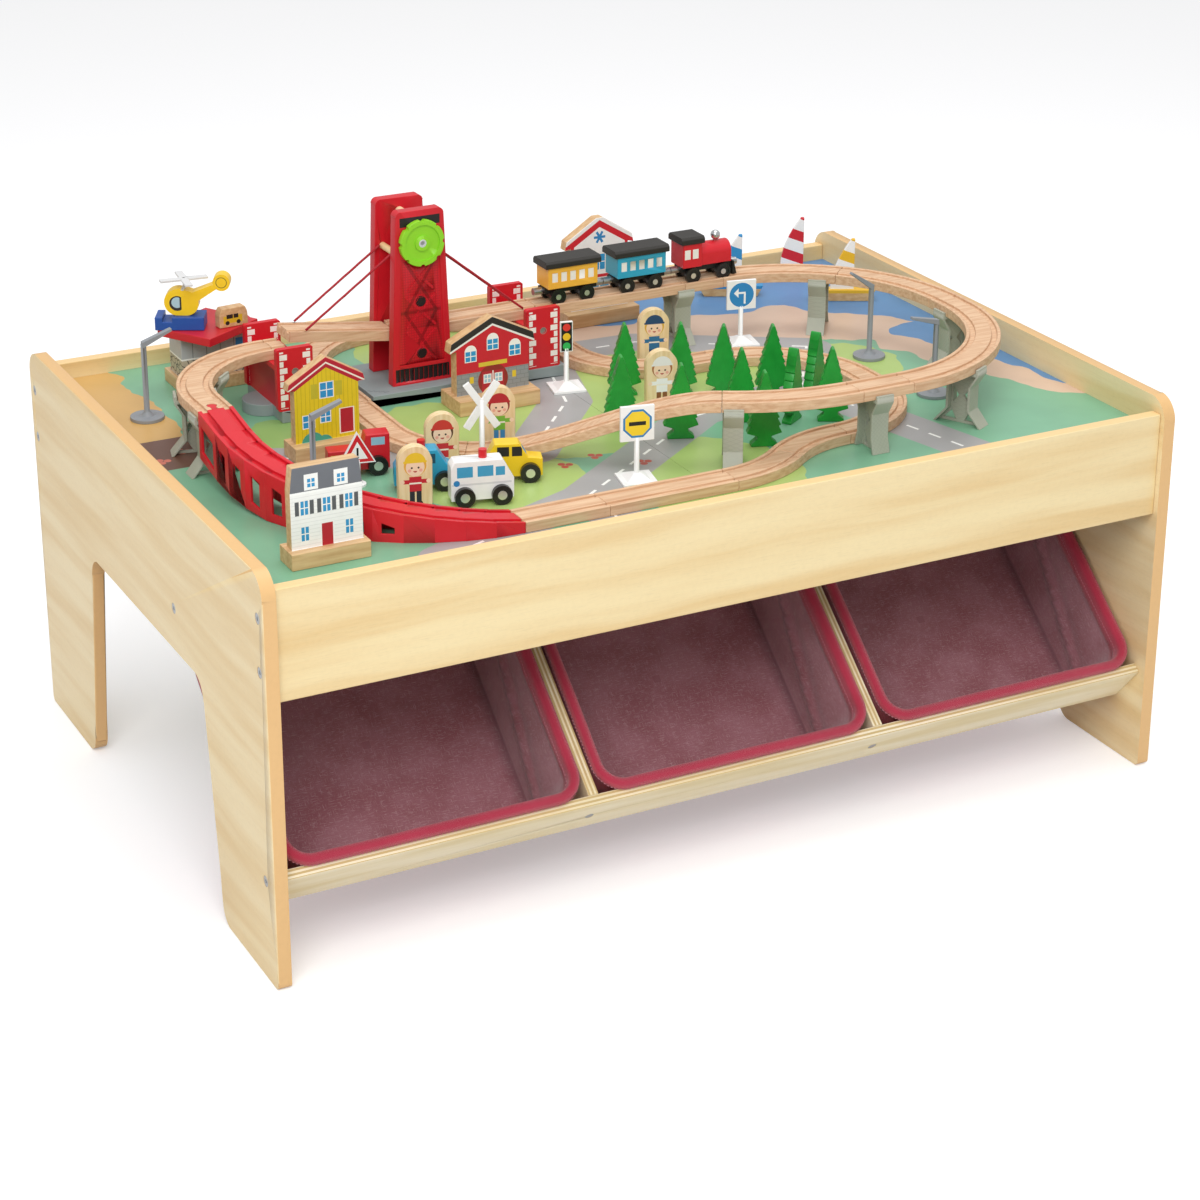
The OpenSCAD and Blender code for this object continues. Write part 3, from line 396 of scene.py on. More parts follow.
# Stage: a pale floor that fades into a white background, under a soft overhead light.
def make_stage():
    bm = bmesh.new()
    bmesh.ops.create_grid(bm, x_segments=2, y_segments=2, size=30)
    mesh = bpy.data.meshes.new("floor")
    bm.to_mesh(mesh)
    bm.free()
    floor = bpy.data.objects.new("floor", mesh)
    scene.collection.objects.link(floor)
    floor.location = (0, 0, -0.0005)
    material = bpy.data.materials.new("floor_white")
    material.use_nodes = True
    tree = material.node_tree
    bsdf = tree.nodes["Principled BSDF"]
    bsdf.inputs["Base Color"].default_value = (0.82, 0.82, 0.83, 1)
    bsdf.inputs["Roughness"].default_value = 0.9
    bsdf.inputs["Specular IOR Level"].default_value = 0.0
    glow = tree.nodes.new("ShaderNodeEmission")
    glow.inputs["Strength"].default_value = 0.30
    black = tree.nodes.new("ShaderNodeEmission")
    black.inputs["Strength"].default_value = 0.0
    ray = tree.nodes.new("ShaderNodeLightPath")
    pick = tree.nodes.new("ShaderNodeMixShader")
    both = tree.nodes.new("ShaderNodeAddShader")
    tree.links.new(ray.outputs["Is Camera Ray"], pick.inputs[0])
    tree.links.new(black.outputs[0], pick.inputs[1])
    tree.links.new(glow.outputs[0], pick.inputs[2])
    tree.links.new(pick.outputs[0], both.inputs[0])
    tree.links.new(bsdf.outputs[0], both.inputs[1])
    tree.links.new(both.outputs[0], tree.nodes["Material Output"].inputs["Surface"])
    mesh.materials.append(material)
    world = bpy.data.worlds.new("studio")
    scene.world = world
    world.use_nodes = True
    tree = world.node_tree
    back = tree.nodes["Background"]
    back.inputs["Color"].default_value = (1, 1, 1, 1)
    back.inputs["Strength"].default_value = 0.62
    white = tree.nodes.new("ShaderNodeBackground")
    white.inputs["Strength"].default_value = 1.0
    ray = tree.nodes.new("ShaderNodeLightPath")
    pick = tree.nodes.new("ShaderNodeMixShader")
    tree.links.new(ray.outputs["Is Camera Ray"], pick.inputs[0])
    tree.links.new(back.outputs[0], pick.inputs[1])
    tree.links.new(white.outputs[0], pick.inputs[2])
    tree.links.new(pick.outputs[0], tree.nodes["World Output"].inputs["Surface"])
    for name, kind, power, where, size in (
            ("key", "AREA", 95, (-1.6, -2.6, 3.2), 2.6), ("top", "AREA", 42, (0.6, 0.3, 3.4), 3.0)):
        data = bpy.data.lights.new(name, kind)
        data.energy = power
        data.shape = "DISK"
        data.size = size
        lamp = bpy.data.objects.new(name, data)
        scene.collection.objects.link(lamp)
        lamp.location = where
        lamp.rotation_euler = (Vector((0, 0, 0.35)) - Vector(where)).to_track_quat(
            "-Z", "Y").to_euler()
    scene.view_settings.view_transform = "Standard"


make_stage()


# Table panels: pale lacquered maple veneer, warmer on the cut edges and in the arch.
def maple_paint(name, along, cut, light="f0dcb0", dark="e4c68f", edge="dfb57c"):
    p = Paint(name)
    u, v, w = {"x": (p.x, p.y, p.z), "y": (p.y, p.x, p.z), "z": (p.z, p.x, p.y)}[along]
    warp = p.noise(u / 260, v / 90, w / 90, 2) * 26
    bands = p.noise(u / 420, v / 26, (w + warp) / 26, 3)
    pores = p.noise(u / 16, v / 0.9, w / 0.9, 2)
    p.colour = p.mix(bands.ramp(0.3, 0.75), linear(light), linear(dark))
    p.shade(pores.ramp(0.5, 0.8), 0.93)
    p.lay(cut(p), edge)
    p.shade(p.noise(u / 5, v / 5, w / 5, 3).ramp(0.35, 0.9), 0.965)
    return p.done(0.42, height=pores, depth=0.00012, strength=0.35, coat=0.12)


panel_maple = maple_paint("maple_panel", "y", lambda p: (abs(p.nx) < 0.6))
take("end_panels", "end_panels", panel_maple, edge=2.2)
apron_maple = maple_paint("maple_apron", "x", lambda p: (abs(p.ny) < 0.6), light="ecd8a8",
                          dark="dfc088", edge="ecca92")
take("aprons", "aprons", apron_maple, edge=1.6)


# Bin frame: clear birch plywood with its layers showing on the upper edges, and bare battens.
def ply_paint(name, layer):
    p = Paint(name)
    c, s = math.cos(bin_tilt), math.sin(bin_tilt)
    across = p.x if layer == "x" else (p.y + 240.4) * c + (p.z - 226.5) * s - 160.8
    up = (p.ny * -s + p.nz * c)
    bands = p.noise(p.x / 240, p.y / 22, p.z / 22, 3)
    p.colour = p.mix(bands.ramp(0.3, 0.7), linear("f1e6c8"), linear("e3d2a4"))
    ply = abs(((across + 6) / 2.4) % 2 - 1)
    p.lay((abs(up) > 0.7) & (ply > 0.5), "c9ae78")
    pores = p.noise(p.x / 14, p.y / 0.8, p.z / 0.8, 2)
    p.shade(pores.ramp(0.5, 0.8), 0.92)
    return p.done(0.55, height=pores, depth=0.00015, strength=0.4)


take("bin_rails", "bin_rails", ply_paint("ply_rail", "u"), edge=1.0)
take("bin_dividers", "bin_dividers", ply_paint("ply_divider", "x"), edge=0.8)
take("battens", "battens", ply_paint("ply_batten", "x"), edge=0.8)


# Screws: zinc-plated hexagon-socket screw heads with turning marks.
def steel_paint(name="zinc", tint="b9bcbe"):
    p = Paint(name, tint)
    fine = p.grain(0.35, 2)
    p.shade(fine.ramp(0.3, 0.9), 0.82)
    return p.done(fine * 0.15 + 0.25, height=fine, depth=0.00006, strength=0.3, metallic=1.0)


zinc = steel_paint()
take("screws", "screws", zinc, edge=0.3)
take("hinge_pins", "hinge_pins", zinc, edge=0)


# Playboard: a printed landscape with lanes, meadows, a lake and fields, under a satin film.
def board_print():
    p = Paint("board_print", "7cb392")
    wob = p.grain(60, 2)
    dx = p.noise(p.x / 70, p.y / 70, 0.0, 2) * 60 - 30
    dy = p.noise(p.x / 70 + 40, p.y / 70, 0.0, 2) * 60 - 30
    u, v = p.x + dx, p.y + dy

    def lane(x0, y0, x1, y1, width, bent=False):
        """Mask within width of a segment."""
        a, b = (u, v) if bent else (p.x, p.y)
        l2 = (x1 - x0) ** 2 + (y1 - y0) ** 2
        t = ((a - x0) * (x1 - x0) + (b - y0) * (y1 - y0)) / l2
        t = t.math("MAXIMUM", 0).lesser(1)
        ex, ey = a - x0 - t * (x1 - x0), b - y0 - t * (y1 - y0)
        return ((ex * ex + ey * ey) < (width / 2) ** 2), t

    for cx, cy, r in ((-60, -40, 110), (60, 40, 120), (200, 60, 105), (-190, -190, 90),
                      (10, -250, 110), (-180, 20, 70), (330, -10, 80), (-60, 250, 120)):
        p.lay(disc(u, v, cx, cy, r), "aac473")
    for cx, cy, r in ((150, 200, 60), (-330, 60, 60)):
        p.lay(disc(u, v, cx, cy, r), "8fb56a")
    p.lay(lane(120, 240, 380, 150, 150, True)[0], "d8bba5")
    p.lay(lane(380, 150, 520, 30, 120, True)[0], "d8bba5")
    p.lay(lane(150, 330, 520, 270, 170, True)[0], "5a8dc0")
    p.lay(lane(430, 230, 540, 120, 110, True)[0], "5a8dc0")
    p.lay(lane(470, 30, 560, -180, 120, True)[0], "d8bba5")
    p.lay(lane(500, 40, 580, -170, 90, True)[0], "5a8dc0")
    p.lay(lane(-535, 330, -535, 120, 170, True)[0], "d0a765")
    p.lay(rect(p.x, p.y, -485, 68, 100, 92), "6b4a3c")
    streets = [(-130, -356, -130, -250), (-130, -250, 90, -90), (90, -90, 250, -60),
               (250, -60, 330, 60), (330, 60, 150, 170), (150, 170, -250, 190),
               (-130, -110, -20, 20), (-20, 20, 20, 160), (-330, -330, -130, -250),
               (-420, 20, -260, -60), (-260, -60, -130, -110), (250, -60, 320, -350)]
    for x0, y0, x1, y1 in streets:
        p.lay(lane(x0, y0, x1, y1, 62)[0], "a5a4a4")
    for x0, y0, x1, y1 in streets:
        length = math.hypot(x1 - x0, y1 - y0)
        mask, t = lane(x0, y0, x1, y1, 3.4)
        p.lay(mask & ((t * length) % 34 < 18), "f4f4f0")
    for x, y, code in ((-112, -160, "c04a3a"), (-70, -150, "c8513f"), (-30, -190, "b8473a"),
                       (40, 150, "c04a3a"), (-470, 70, "d0705c"), (-500, 50, "d0705c"),
                       (-455, 40, "d0705c"), (200, 20, "e0b54a"), (-250, -270, "c8513f")):
        for k in range(3):
            a = 2.1 * k
            p.lay(disc(p.x, p.y, x + 5 * math.cos(a), y + 5 * math.sin(a), 4.2), code)
    p.shade(wob.ramp(0.35, 0.75), 0.93)
    # Painted shade: the board's side faces are darkened to 0.7 of the print.
    p.shade((p.nz < 0.5), 0.7)
    dust = p.grain(1.2, 2)
    p.shade(dust.ramp(0.4, 0.9), 0.96)
    return p.done(0.38, height=dust, depth=0.00005, strength=0.25, coat=0.15)


take("playboard", "playboard", board_print(), edge=0.3)


# Fabric bins: crimson canvas over stiff liners, with a folded hem, dusty-rose lining and corner
# seams; a painted glint on the lining, and painted shade between the threads, in the lining's
# crease and along its floor's rim.
def bin_paint():
    p = Paint("bin_canvas", "b0203c")
    uv = p.node("UVMap", {"uv_map": "cloth"})
    split = p.node("SeparateXYZ", out=None, Vector=uv)
    run, down = [Sock(p.tree, o) for o in split.outputs[:2]]
    inner = p.node("Attribute", {"attribute_name": "inner"}, out="Fac")
    warp, weft = (run * 1.15 % 1), (down * 1.15 % 1)
    over = ((run * 1.15).math("FLOOR") + (down * 1.15).math("FLOOR")) % 2
    thread = p.mix(over, p.vec(abs(warp - 0.5), 0, 0), p.vec(abs(weft - 0.5), 0, 0))
    yarn = Sock(p.tree, p.node("SeparateXYZ", out=None, Vector=thread).outputs[0]) * 2
    slub = p.noise(run / 9, down / 0.7, 0.0, 2)
    slub_2 = p.noise(run / 0.7, down / 9, 5.0, 2)
    cloud = p.grain(48, 4)
    hem = p.mix(cloud, linear("ab1e3a"), linear("c4304e"))
    lining = p.mix(cloud.ramp(0.3, 0.7), linear("a5636d"), linear("b67a85"))
    # Painted glint: a pale silvery colour mixed into the lining in noisy flecks.
    painted_glint = (slub.ramp(0.56, 0.72) | slub_2.ramp(0.58, 0.74)) * 0.75
    lining = p.mix(painted_glint, lining, linear("d9b3b4"))
    p.colour = p.mix(inner, hem, lining)
    # Painted shade between the threads: the weave is darkened where its bump is lowest.
    p.shade(yarn.ramp(0.35, 1.0), 0.80)
    # The seam mark darkens the real corner seams, and paints shade into the lining's crease and
    # along the inner floor's rim.
    seam = p.node("Attribute", {"attribute_name": "seam"}, out="Fac")
    p.shade(seam, 0.45)
    return p.done(0.82, height=yarn * -0.6 + slub * 0.5, depth=0.0005, strength=0.6, sheen=0.35)


def thread_paint():
    p = Paint("sewing_thread", "d98795")
    p.shade(p.grain(0.5, 1).ramp(0.3, 0.8), 0.8)
    return p.done(0.7)


def tilted(x, u, w):
    """Bin frame to row frame, in metres."""
    c, s = math.cos(bin_tilt), math.sin(bin_tilt)
    return Vector((x, bin_y + u * c - w * s, bin_z + u * s + w * c)) / 1000


def outline(w, l, r, n):
    """n points around a rounded rectangle, spread evenly, from the middle of the right side."""
    straight = (w - 2 * r, l - 2 * r)
    total = 2 * sum(straight) + 2 * math.pi * r
    points = []
    for i in range(n):
        d = i / n * total
        x, y, corner = 0.0, 0.0, 0
        legs = [(straight[1] / 2, "r"), (math.pi * r / 2, "c0"), (straight[0], "t"),
                (math.pi * r / 2, "c1"), (straight[1], "l"), (math.pi * r / 2, "c2"),
                (straight[0], "b"), (math.pi * r / 2, "c3"), (straight[1] / 2, "r2")]
        for length, kind in legs:
            if d <= length or kind == "r2":
                break
            d -= length
        if kind == "r":
            x, y = w / 2, d
        elif kind == "r2":
            x, y = w / 2, -straight[1] / 2 + d
        elif kind == "t":
            x, y = w / 2 - r - d, l / 2
        elif kind == "l":
            x, y = -w / 2, l / 2 - r - d
        elif kind == "b":
            x, y = -w / 2 + r + d, -l / 2
        else:
            k = int(kind[1])
            cx = (w / 2 - r) * (1, -1, -1, 1)[k]
            cy = (l / 2 - r) * (1, 1, -1, -1)[k]
            a = d / r + k * math.pi / 2
            x, y, corner = cx + r * math.cos(a), cy + r * math.sin(a), 1
        points.append((x, y, i / n * total, corner))
    return points


def make_bin(side, centre, width, material, thread, seed):
    rng = np.random.default_rng(seed)
    n = 300
    # Rings from the middle of the outer bottom, up the outside, over the hem and down the lining.
    rings = []
    depth = 116.0
    for k in range(8):
        rings.append(("base", 0.12 + 0.88 * k / 7 if k else 0.02, -depth))
    for k in range(1, 15):
        rings.append(("out", k / 15, 0))
    hem = [(0.0, -0.6), (1.6, 0.3), (3.0, 1.2), (3.3, 3.2), (3.0, 6.6), (1.4, 8.6), (-1.8, 9.2),
           (-5.0, 8.6), (-7.2, 7.0), (-8.3, 4.6), (-8.2, 0.8), (-8.0, -5.0), (-7.9, -9.4),
           (-7.2, -10.6)]
    for o, w in hem:
        rings.append(("hem", o, w))
    for k in range(1, 22):
        rings.append(("in", 1 - k / 22, 0))
    for k in range(10):
        rings.append(("floor", 1 - 0.1 * k if k < 9 else 0.03, 0))
    body_w, body_l, low_w, low_l = width - 6, 302.0, width - 26, 296.0
    ph = rng.uniform(0, 6.28, 12)
    bm = bmesh.new()
    uv = bm.loops.layers.uv.new("cloth")
    inner = bm.verts.layers.float.new("inner")
    seam = bm.verts.layers.float.new("seam")
    grid, meta = [], []
    for kind, a, b in rings:
        row, info = [], []
        if kind == "base":
            pts = outline(low_w, low_l, 26, n)
            for x, y, d, corner in pts:
                edge = max(0.0, (a - 0.85) / 0.15)
                sag = -0.9 * math.cos(x * a / 60 + ph[0]) * (1 - a)
                row.append((x * a, y * a, -depth + 3.5 * edge ** 3 + sag + 0.9))
                info.append((d, a * 60, 0, 0))
        elif kind == "out":
            w_now = low_w + (body_w - low_w) * a
            l_now = low_l + (body_l - low_l) * a
            for x, y, d, corner in outline(w_now, l_now, 26 + 4 * a, n):
                push = math.sin(a * math.pi)
                ripple = 1.2 * push * math.sin(d / 47 + ph[1]) + 0.6 * push * math.sin(
                    d / 19 + ph[2] + a * 4)
                length = math.hypot(x, y) or 1
                f = 1 + (ripple * 0.7 - 0.6 * push) / length
                row.append((x * f, y * f, -depth + 3.5 + a * (depth - 4.2)))
                info.append((d, 60 + a * depth, 0, 1.0 if corner and abs(
                    abs(x) - w_now / 2) < 9.5 and abs(abs(y) - l_now / 2) < 9.5 else 0))
        elif kind == "hem":
            for x, y, d, corner in outline(body_w + 2 * min(a, 3.0), body_l + 8 + 2 * a, 30 + a, n):
                wave = 0.5 * math.sin(d / 61 + ph[3]) + 0.25 * math.sin(d / 23 + ph[4])
                lift = wave if b > 1 else 0.0
                tuck = 0.7 * math.sin(d / 37 + ph[5]) if a < 0 else 0
                length = math.hypot(x, y) or 1
                f = 1 - abs(tuck) * 0.6 / length
                row.append((x * f, y * f, (b * 1.25 if b > 1 else b) + lift * 0.9))
                info.append((d, 175 + b * 0.9 - a, 0, 0))
        elif kind == "in":
            w_now = low_w - 7 + (body_w - 11 - low_w + 7) * a
            l_now = low_l - 7 + (body_l - 10 - low_l + 7) * a
            for x, y, d, corner in outline(w_now, l_now, 24 + 6 * a, n):
                push = math.sin(min(1.0, a * 1.05) * math.pi)
                slack = 2.2 * push * (0.5 + 0.5 * math.sin(d / 90 + ph[6]))
                crease = 0.0
                if x > w_now / 2 - 12:
                    # The stiff liner stops short here and the cloth folds on a slant.
                    line = y / l_now * 0.75 + 0.52
                    gap = (a - line) * 90
                    crease = 3.2 * math.exp(-(gap / 5.5) ** 2) - 1.8 * math.exp(
                        -((gap - 11) / 7) ** 2)
                if x < -w_now / 2 + 12:
                    gap = (a - 0.45 + y / l_now * 0.5) * 90
                    crease = 1.8 * math.exp(-(gap / 7) ** 2)
                length = math.hypot(x, y) or 1
                f = 1 - (slack + crease) / length
                on_seam = 1.0 if corner and abs(abs(x) - w_now / 2) < 9 and abs(
                    abs(y) - l_now / 2) < 9 else 0.0
                # Painted shade along the ridge of the crease.
                crease_shade = 0.55 if crease > 2.4 else 0.0
                row.append((x * f, y * f, -depth + 4.2 + a * (depth - 16)))
                info.append((d, 190 + (1 - a) * depth, 1, max(on_seam, crease_shade)))
        else:
            pts = outline(low_w - 8, low_l - 8, 22, n)
            for x, y, d, corner in pts:
                dent = 1.3 * math.sin(x * a / 55 + ph[7]) * math.sin(y * a / 70 + ph[8]) * (1 - a)
                row.append((x * a, y * a, -depth + 4.4 + dent + (1.3 if a < 1 else 0)))
                # Painted shade along the floor's rim, where it meets the lining's wall.
                info.append((x * a, y * a, 1, 0.8 if a > 0.95 else 0))
        grid.append([bm.verts.new(tilted(centre + x, y, w)) for x, y, w in row])
        meta.append(info)
    for row, info in zip(grid, meta):
        for vert, (_, _, lining, seam_and_shade_value) in zip(row, info):
            vert[inner] = lining
            vert[seam] = seam_and_shade_value
    spot = {v: (info[0], info[1]) for row, infos in zip(grid, meta)
            for v, info in zip(row, infos)}
    for a, b in zip(grid, grid[1:]):
        for i in range(n):
            j = (i + 1) % n
            face = bm.faces.new((a[i], a[j], b[j], b[i]))
            face.smooth = True
            for loop in face.loops:
                loop[uv].uv = spot[loop.vert]
            if j == 0:
                wide = max(q[0] for q in (spot[v] for v in face.verts))
                for loop in face.loops:
                    if wide > 400 and loop[uv].uv[0] < 200 and abs(loop[uv].uv[0]) < 1:
                        loop[uv].uv = (wide + 7, loop[uv].uv[1])
    bm.faces.new(grid[0][::-1]).smooth = True
    bm.faces.new(grid[-1]).smooth = True
    name = "bin_" + side
    mesh = mesh_from(bm, name)
    mesh.materials.append(material)
    obj = add_object(name, mesh, name)
    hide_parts(name)
    # Stitches: short thread beads along both faces of the hem.
    bm = bmesh.new()
    for grow, w in ((3.75, 2.2), (-8.9, -2.4)):
        points = outline(body_w + 2 * min(grow, 3.75), body_l + 8 + 2 * grow, 30 + grow, 300)
        for i in range(0, 300):
            x, y, d, corner = points[i]
            x2, y2, _, _ = points[(i + 1) % 300]
            a0 = tilted(centre + x, y, w)
            a1 = tilted(centre + x + (x2 - x) * 0.62, y + (y2 - y) * 0.62, w)
            along = (a1 - a0).normalized()
            up = tilted(0, 0, 1) - tilted(0, 0, 0)
            out = along.cross(up.normalized())
            ring = []
            for q, r in ((a0, 0.25), (a0.lerp(a1, 0.5), 0.55), (a1, 0.25)):
                ring.append([bm.verts.new(q + (out * math.cos(t) + up.normalized() * math.sin(t))
                                          * r / 1000) for t in (0, 1.57, 3.14, 4.71)])
            for p, q in zip(ring, ring[1:]):
                for k in range(4):
                    bm.faces.new((p[k], p[(k + 1) % 4], q[(k + 1) % 4], q[k])).smooth = True
            bm.faces.new(ring[0][::-1])
            bm.faces.new(ring[-1])
    mesh = mesh_from(bm, name + "_stitches")
    mesh.materials.append(thread)
    add_object(name + "_stitches", mesh, name)


canvas, thread = bin_paint(), thread_paint()
make_bin("left", -360, 342, canvas, thread, 3)
make_bin("middle", 0, 341, canvas, thread, 8)
make_bin("right", 360, 342, canvas, thread, 14)


# Wooden track: bare beech with short dark flecks, each piece of its own tone.
def beech_paint(name, turn=0.0):
    p = Paint(name)
    u, v, w = p.local(0, 0, 0, turn)
    own = p.node("NewGeometry", out="Random Per Island")
    lines = p.noise(u / 60 + own * 30, v / 4.5, w / 3.2, 3)
    fleck = p.noise(u / 4.5, v / 0.7 + own * 9, w / 0.7, 1)
    pore = p.noise(u / 9, v / 0.35, w / 0.35, 2)
    p.colour = p.mix(lines.ramp(0.3, 0.72), linear("e0bd9a"), linear("cba07c"))
    p.shade(own.ramp(0.1, 1.0), 0.93)
    p.shade(fleck.ramp(0.66, 0.78), 0.80)
    p.shade(pore.ramp(0.58, 0.8), 0.90)
    return p.done(0.6, height=pore + lines, depth=0.00012, strength=0.5)


beech = beech_paint("beech_track")
for node in ("upper_track_left", "upper_track_right", "climbing_track", "ground_track"):
    take(node, node, beech, edge=0.9)
for node in ("bridge_deck", "leaf_left", "leaf_right"):
    take(node, node, beech, edge=0.7)


# Moulded plastic: even colour with a faint orange-peel surface.
def plastic_paint(name, code, rough=0.35, extra=None, coat=0.0):
    p = Paint(name, code)
    p.shade(p.grain(22, 3).ramp(0.3, 0.8), 0.95)
    if extra:
        extra(p)
    peel = p.grain(0.9, 2)
    return p.done(peel * 0.12 + rough, height=peel, depth=0.00008, strength=0.35, coat=coat)


ramp_red = plastic_paint("plastic_ramp_red", "d21f2c", 0.3)
take("plastic_ramp", "plastic_ramp", ramp_red, edge=0.5)


def diamond_texture_shade(p):
    d = 5.0
    line = (abs((p.x + p.y + p.z).cycle(d)) < 0.35) | (abs((p.x + p.y - p.z).cycle(d)) < 0.35)
    # Painted shade: the moulded diamond texture on the upright faces is drawn as darker lines.
    p.shade(line & (abs(p.nz) < 0.4), 0.9)


riser_grey = plastic_paint("riser_grey", "a9ab9c", 0.5, diamond_texture_shade)
take("risers", "risers", riser_grey, edge=0.5)


# Bridge: grey base, red piers with printed quoins, red tower with a dark lattice print.
def base_marks(p):
    for k in range(6):
        p.lay(rect(p.x, p.y, -208 - k * 4.6, 108 + k * 3.2, 7, 1.6) & (p.nz > 0.6), "6f7679")
    p.lay(rect(p.x, p.y, -157, 112, 84, 1.2) & (p.nz > 0.6), "848b8d")


take("bridge_base", "bridge_base", plastic_paint("base_grey", "8f9a9b", 0.45, base_marks),
     edge=0.8)


def quoins(p):
    for x in (-322, -9):
        u, w = p.x - x, p.z - 473
        row = (w % 8) < 6.6
        wide = ((w / 8).math("FLOOR") % 2) * 4.4 + 4.6
        edge = 18.5 - abs(u)
        mask = (abs(u) < 18.6) & (edge < wide) & row & (abs(w) < 34)
        p.lay(mask & p.facing(), "f3ece6")
        p.lay(disc(u, w, 0, 9, 4.2) & p.facing(), "8d8d86")


take("bridge_piers", "bridge_piers", plastic_paint("pier_red", "cf1a29", 0.35, quoins), edge=0.9)


def tower_print(p):
    u, w = p.x - tower_x, p.z - 436
    front = p.facing() & (p.y < 128)
    p.lay(rect(u, w, 0, 196, 50, 11) & front, "1d1718")
    p.lay(rect(u, w, 0, 12, 68, 16) & front & ((p.y > 120.2) | (p.y < 119.2)), "241b1c")
    inner = (abs(u) < (29.0 - w * 0.045)) & (w > 24) & (w < 150) & front
    fine = (abs(u.cycle(3.1)) < 0.3) | (abs(w.cycle(3.1)) < 0.3)
    p.shade(inner & fine, 0.72)
    for low in (24, 87):
        rise = w - low
        slant = abs(u) - abs(rise - 31) * 0.62
        p.shade(inner & (abs(slant) < 2.2) & (rise > 0) & (rise < 62), 0.6)
        p.shade(inner & (abs(rise) < 2), 0.6)
    p.lay(((disc(u, w, 0, 36, 6.4)) | disc(u, w, 0, 99, 6.4)) & front, "221a1b")


take("tower_plates", "tower_plates", plastic_paint("tower_red", "cb1a28", 0.32, tower_print),
     edge=1.0)
dowel_maple = maple_paint("maple_dowel", "y", lambda p: (abs(p.ny) > 0.6))
take("tower_dowels", "tower_dowels", dowel_maple, edge=0)


# Winch: a lime knob with eight notches and a silver screw, on a beech shaft.
def winch_print(p):
    p.lay((p.y > 118.5), "c9a57f")
    u, w = p.x - tower_x, p.z - 607
    p.lay(disc(u, w, 0, 0, 4.6) & (p.y < 118.5), "c9ccd0")
    # Painted shade: the screw's socket is drawn as a darkened disc, not a recess.
    p.shade(disc(u, w, 0, 0, 2.4) & (p.y < 118.5), 0.5)


take("winch", "winch", plastic_paint("winch_lime", "8fd62a", 0.35, winch_print), edge=0.7)


# Train: painted beech cars with printed windows, black roofs and chassis, magnets on both ends.
def coach_paint():
    p = Paint("train_paint", "f0b540")
    p.lay((p.x > 96), "2fa3c4")
    p.lay((p.x > 190), "d31d2b")
    w = p.z - 517
    for x in (50, 143):
        u = (p.x - x)
        pane = rect(u.cycle(12), w, 0, 14, 7.4, 11.4) & (abs(u) < 29) & (abs(p.ny) > 0.6)
        p.lay(pane, "efece4")
    p.lay((rect(p.x, w, 206, 17, 8, 12) | rect(p.x, w, 217, 17, 8, 12)) & (abs(p.ny) > 0.6),
          "efece4")
    p.shade(p.grain(14, 3).ramp(0.35, 0.8), 0.94)
    peel = p.noise(p.x / 8, p.y / 0.6, p.z / 0.6, 2)
    return p.done(0.38, height=peel, depth=0.0001, strength=0.4, coat=0.1)


def black_paint(name="black_wood", code="26231f", rough=0.5):
    p = Paint(name, code)
    fine = p.noise(p.x / 10, p.y / 0.7, p.z / 0.7, 2)
    p.shade(fine.ramp(0.45, 0.8), 0.7)
    return p.done(rough, height=fine, depth=0.00015, strength=0.5)


def hub_paint(name, spots, z, r, code="1c1b1a"):
    """Black wheels with a bright axle head, spots being the axle centres in plan."""
    p = Paint(name, code)
    hub = None
    for x, y, turn in spots:
        u, v, w = p.local(x, y, z, turn)
        one = (disc(u, w, 0, 0, r)) & (abs(v) > 6)
        hub = one if hub is None else (hub | one)
    p.lay(hub, "e3e1da")
    peel = p.grain(0.8, 2)
    return p.done(0.3, height=peel, depth=0.00006, strength=0.3, coat=0.2, metallic=hub * 0.85)


take("train_bodies", "train_bodies", coach_paint(), edge=0.9)


def roof_paint():
    """Black roofs, and the steel ball on the engine's boiler."""
    p = Paint("roof_black", "2a2723")
    fine = p.noise(p.x / 10, p.y / 0.7, p.z / 0.7, 2)
    p.shade(fine.ramp(0.45, 0.8), 0.7)
    ball = p.x > 244
    p.lay(ball, "c9ccce")
    return p.done(ball * -0.32 + 0.5, height=fine, depth=0.00012, strength=0.4,
                  metallic=ball * 0.9)


take("train_roofs", "train_roofs", roof_paint(), edge=0.8)
take("train_chassis", "train_chassis", black_paint("chassis_black", "1c1a19", 0.4), edge=0.7)
take("train_magnets", "train_magnets", zinc, edge=0.6)
cars = (("yellow", 50, 38), ("blue", 143, 38), ("engine", 236, 42))
train_hubs = hub_paint("train_wheels", [(x + s * b / 2, line_y, 0) for _, x, b in cars
                                        for s in (-1, 1)], 506, 3.4)
for car, x, base in cars:
    for end in ("rear", "front"):
        node = "axle_%s_%s" % (car, end)
        take(node, node, train_hubs, edge=0.5)


# Road vehicles: painted wooden blocks with printed windows, black wheels with bright hubs.
def vehicle_paint(name, code, at, panes, extra, beacon):
    p = Paint(name, code)
    u, v, w = p.local(at[0], at[1], board_z, at[2])
    side = p.facing(at[2], -1) | p.facing(at[2], 1)
    for cx, cz, wide, tall, tint in panes:
        p.lay(rect(u, w, cx, cz, wide, tall) & side, tint)
    for cx, cz, r, tint in extra:
        p.lay(disc(u, w, cx, cz, r) & side, tint)
    front = (u > 12) & (p.nz < 0.95)
    p.lay((abs(v) < 7) & (w > 30) & (w < 42) & front & (
        (p.nx * math.cos(math.radians(at[2])) + p.ny * math.sin(math.radians(at[2]))) > 0.4),
        "2e86b8")
    if beacon:
        p.lay((w > beacon[1]) & (disc(u, v, beacon[0], 0, 5.4)), "d0202a")
    p.shade(p.grain(12, 3).ramp(0.35, 0.8), 0.95)
    peel = p.grain(0.8, 2)
    return p.done(0.34, height=peel, depth=0.00008, strength=0.35, coat=0.15)


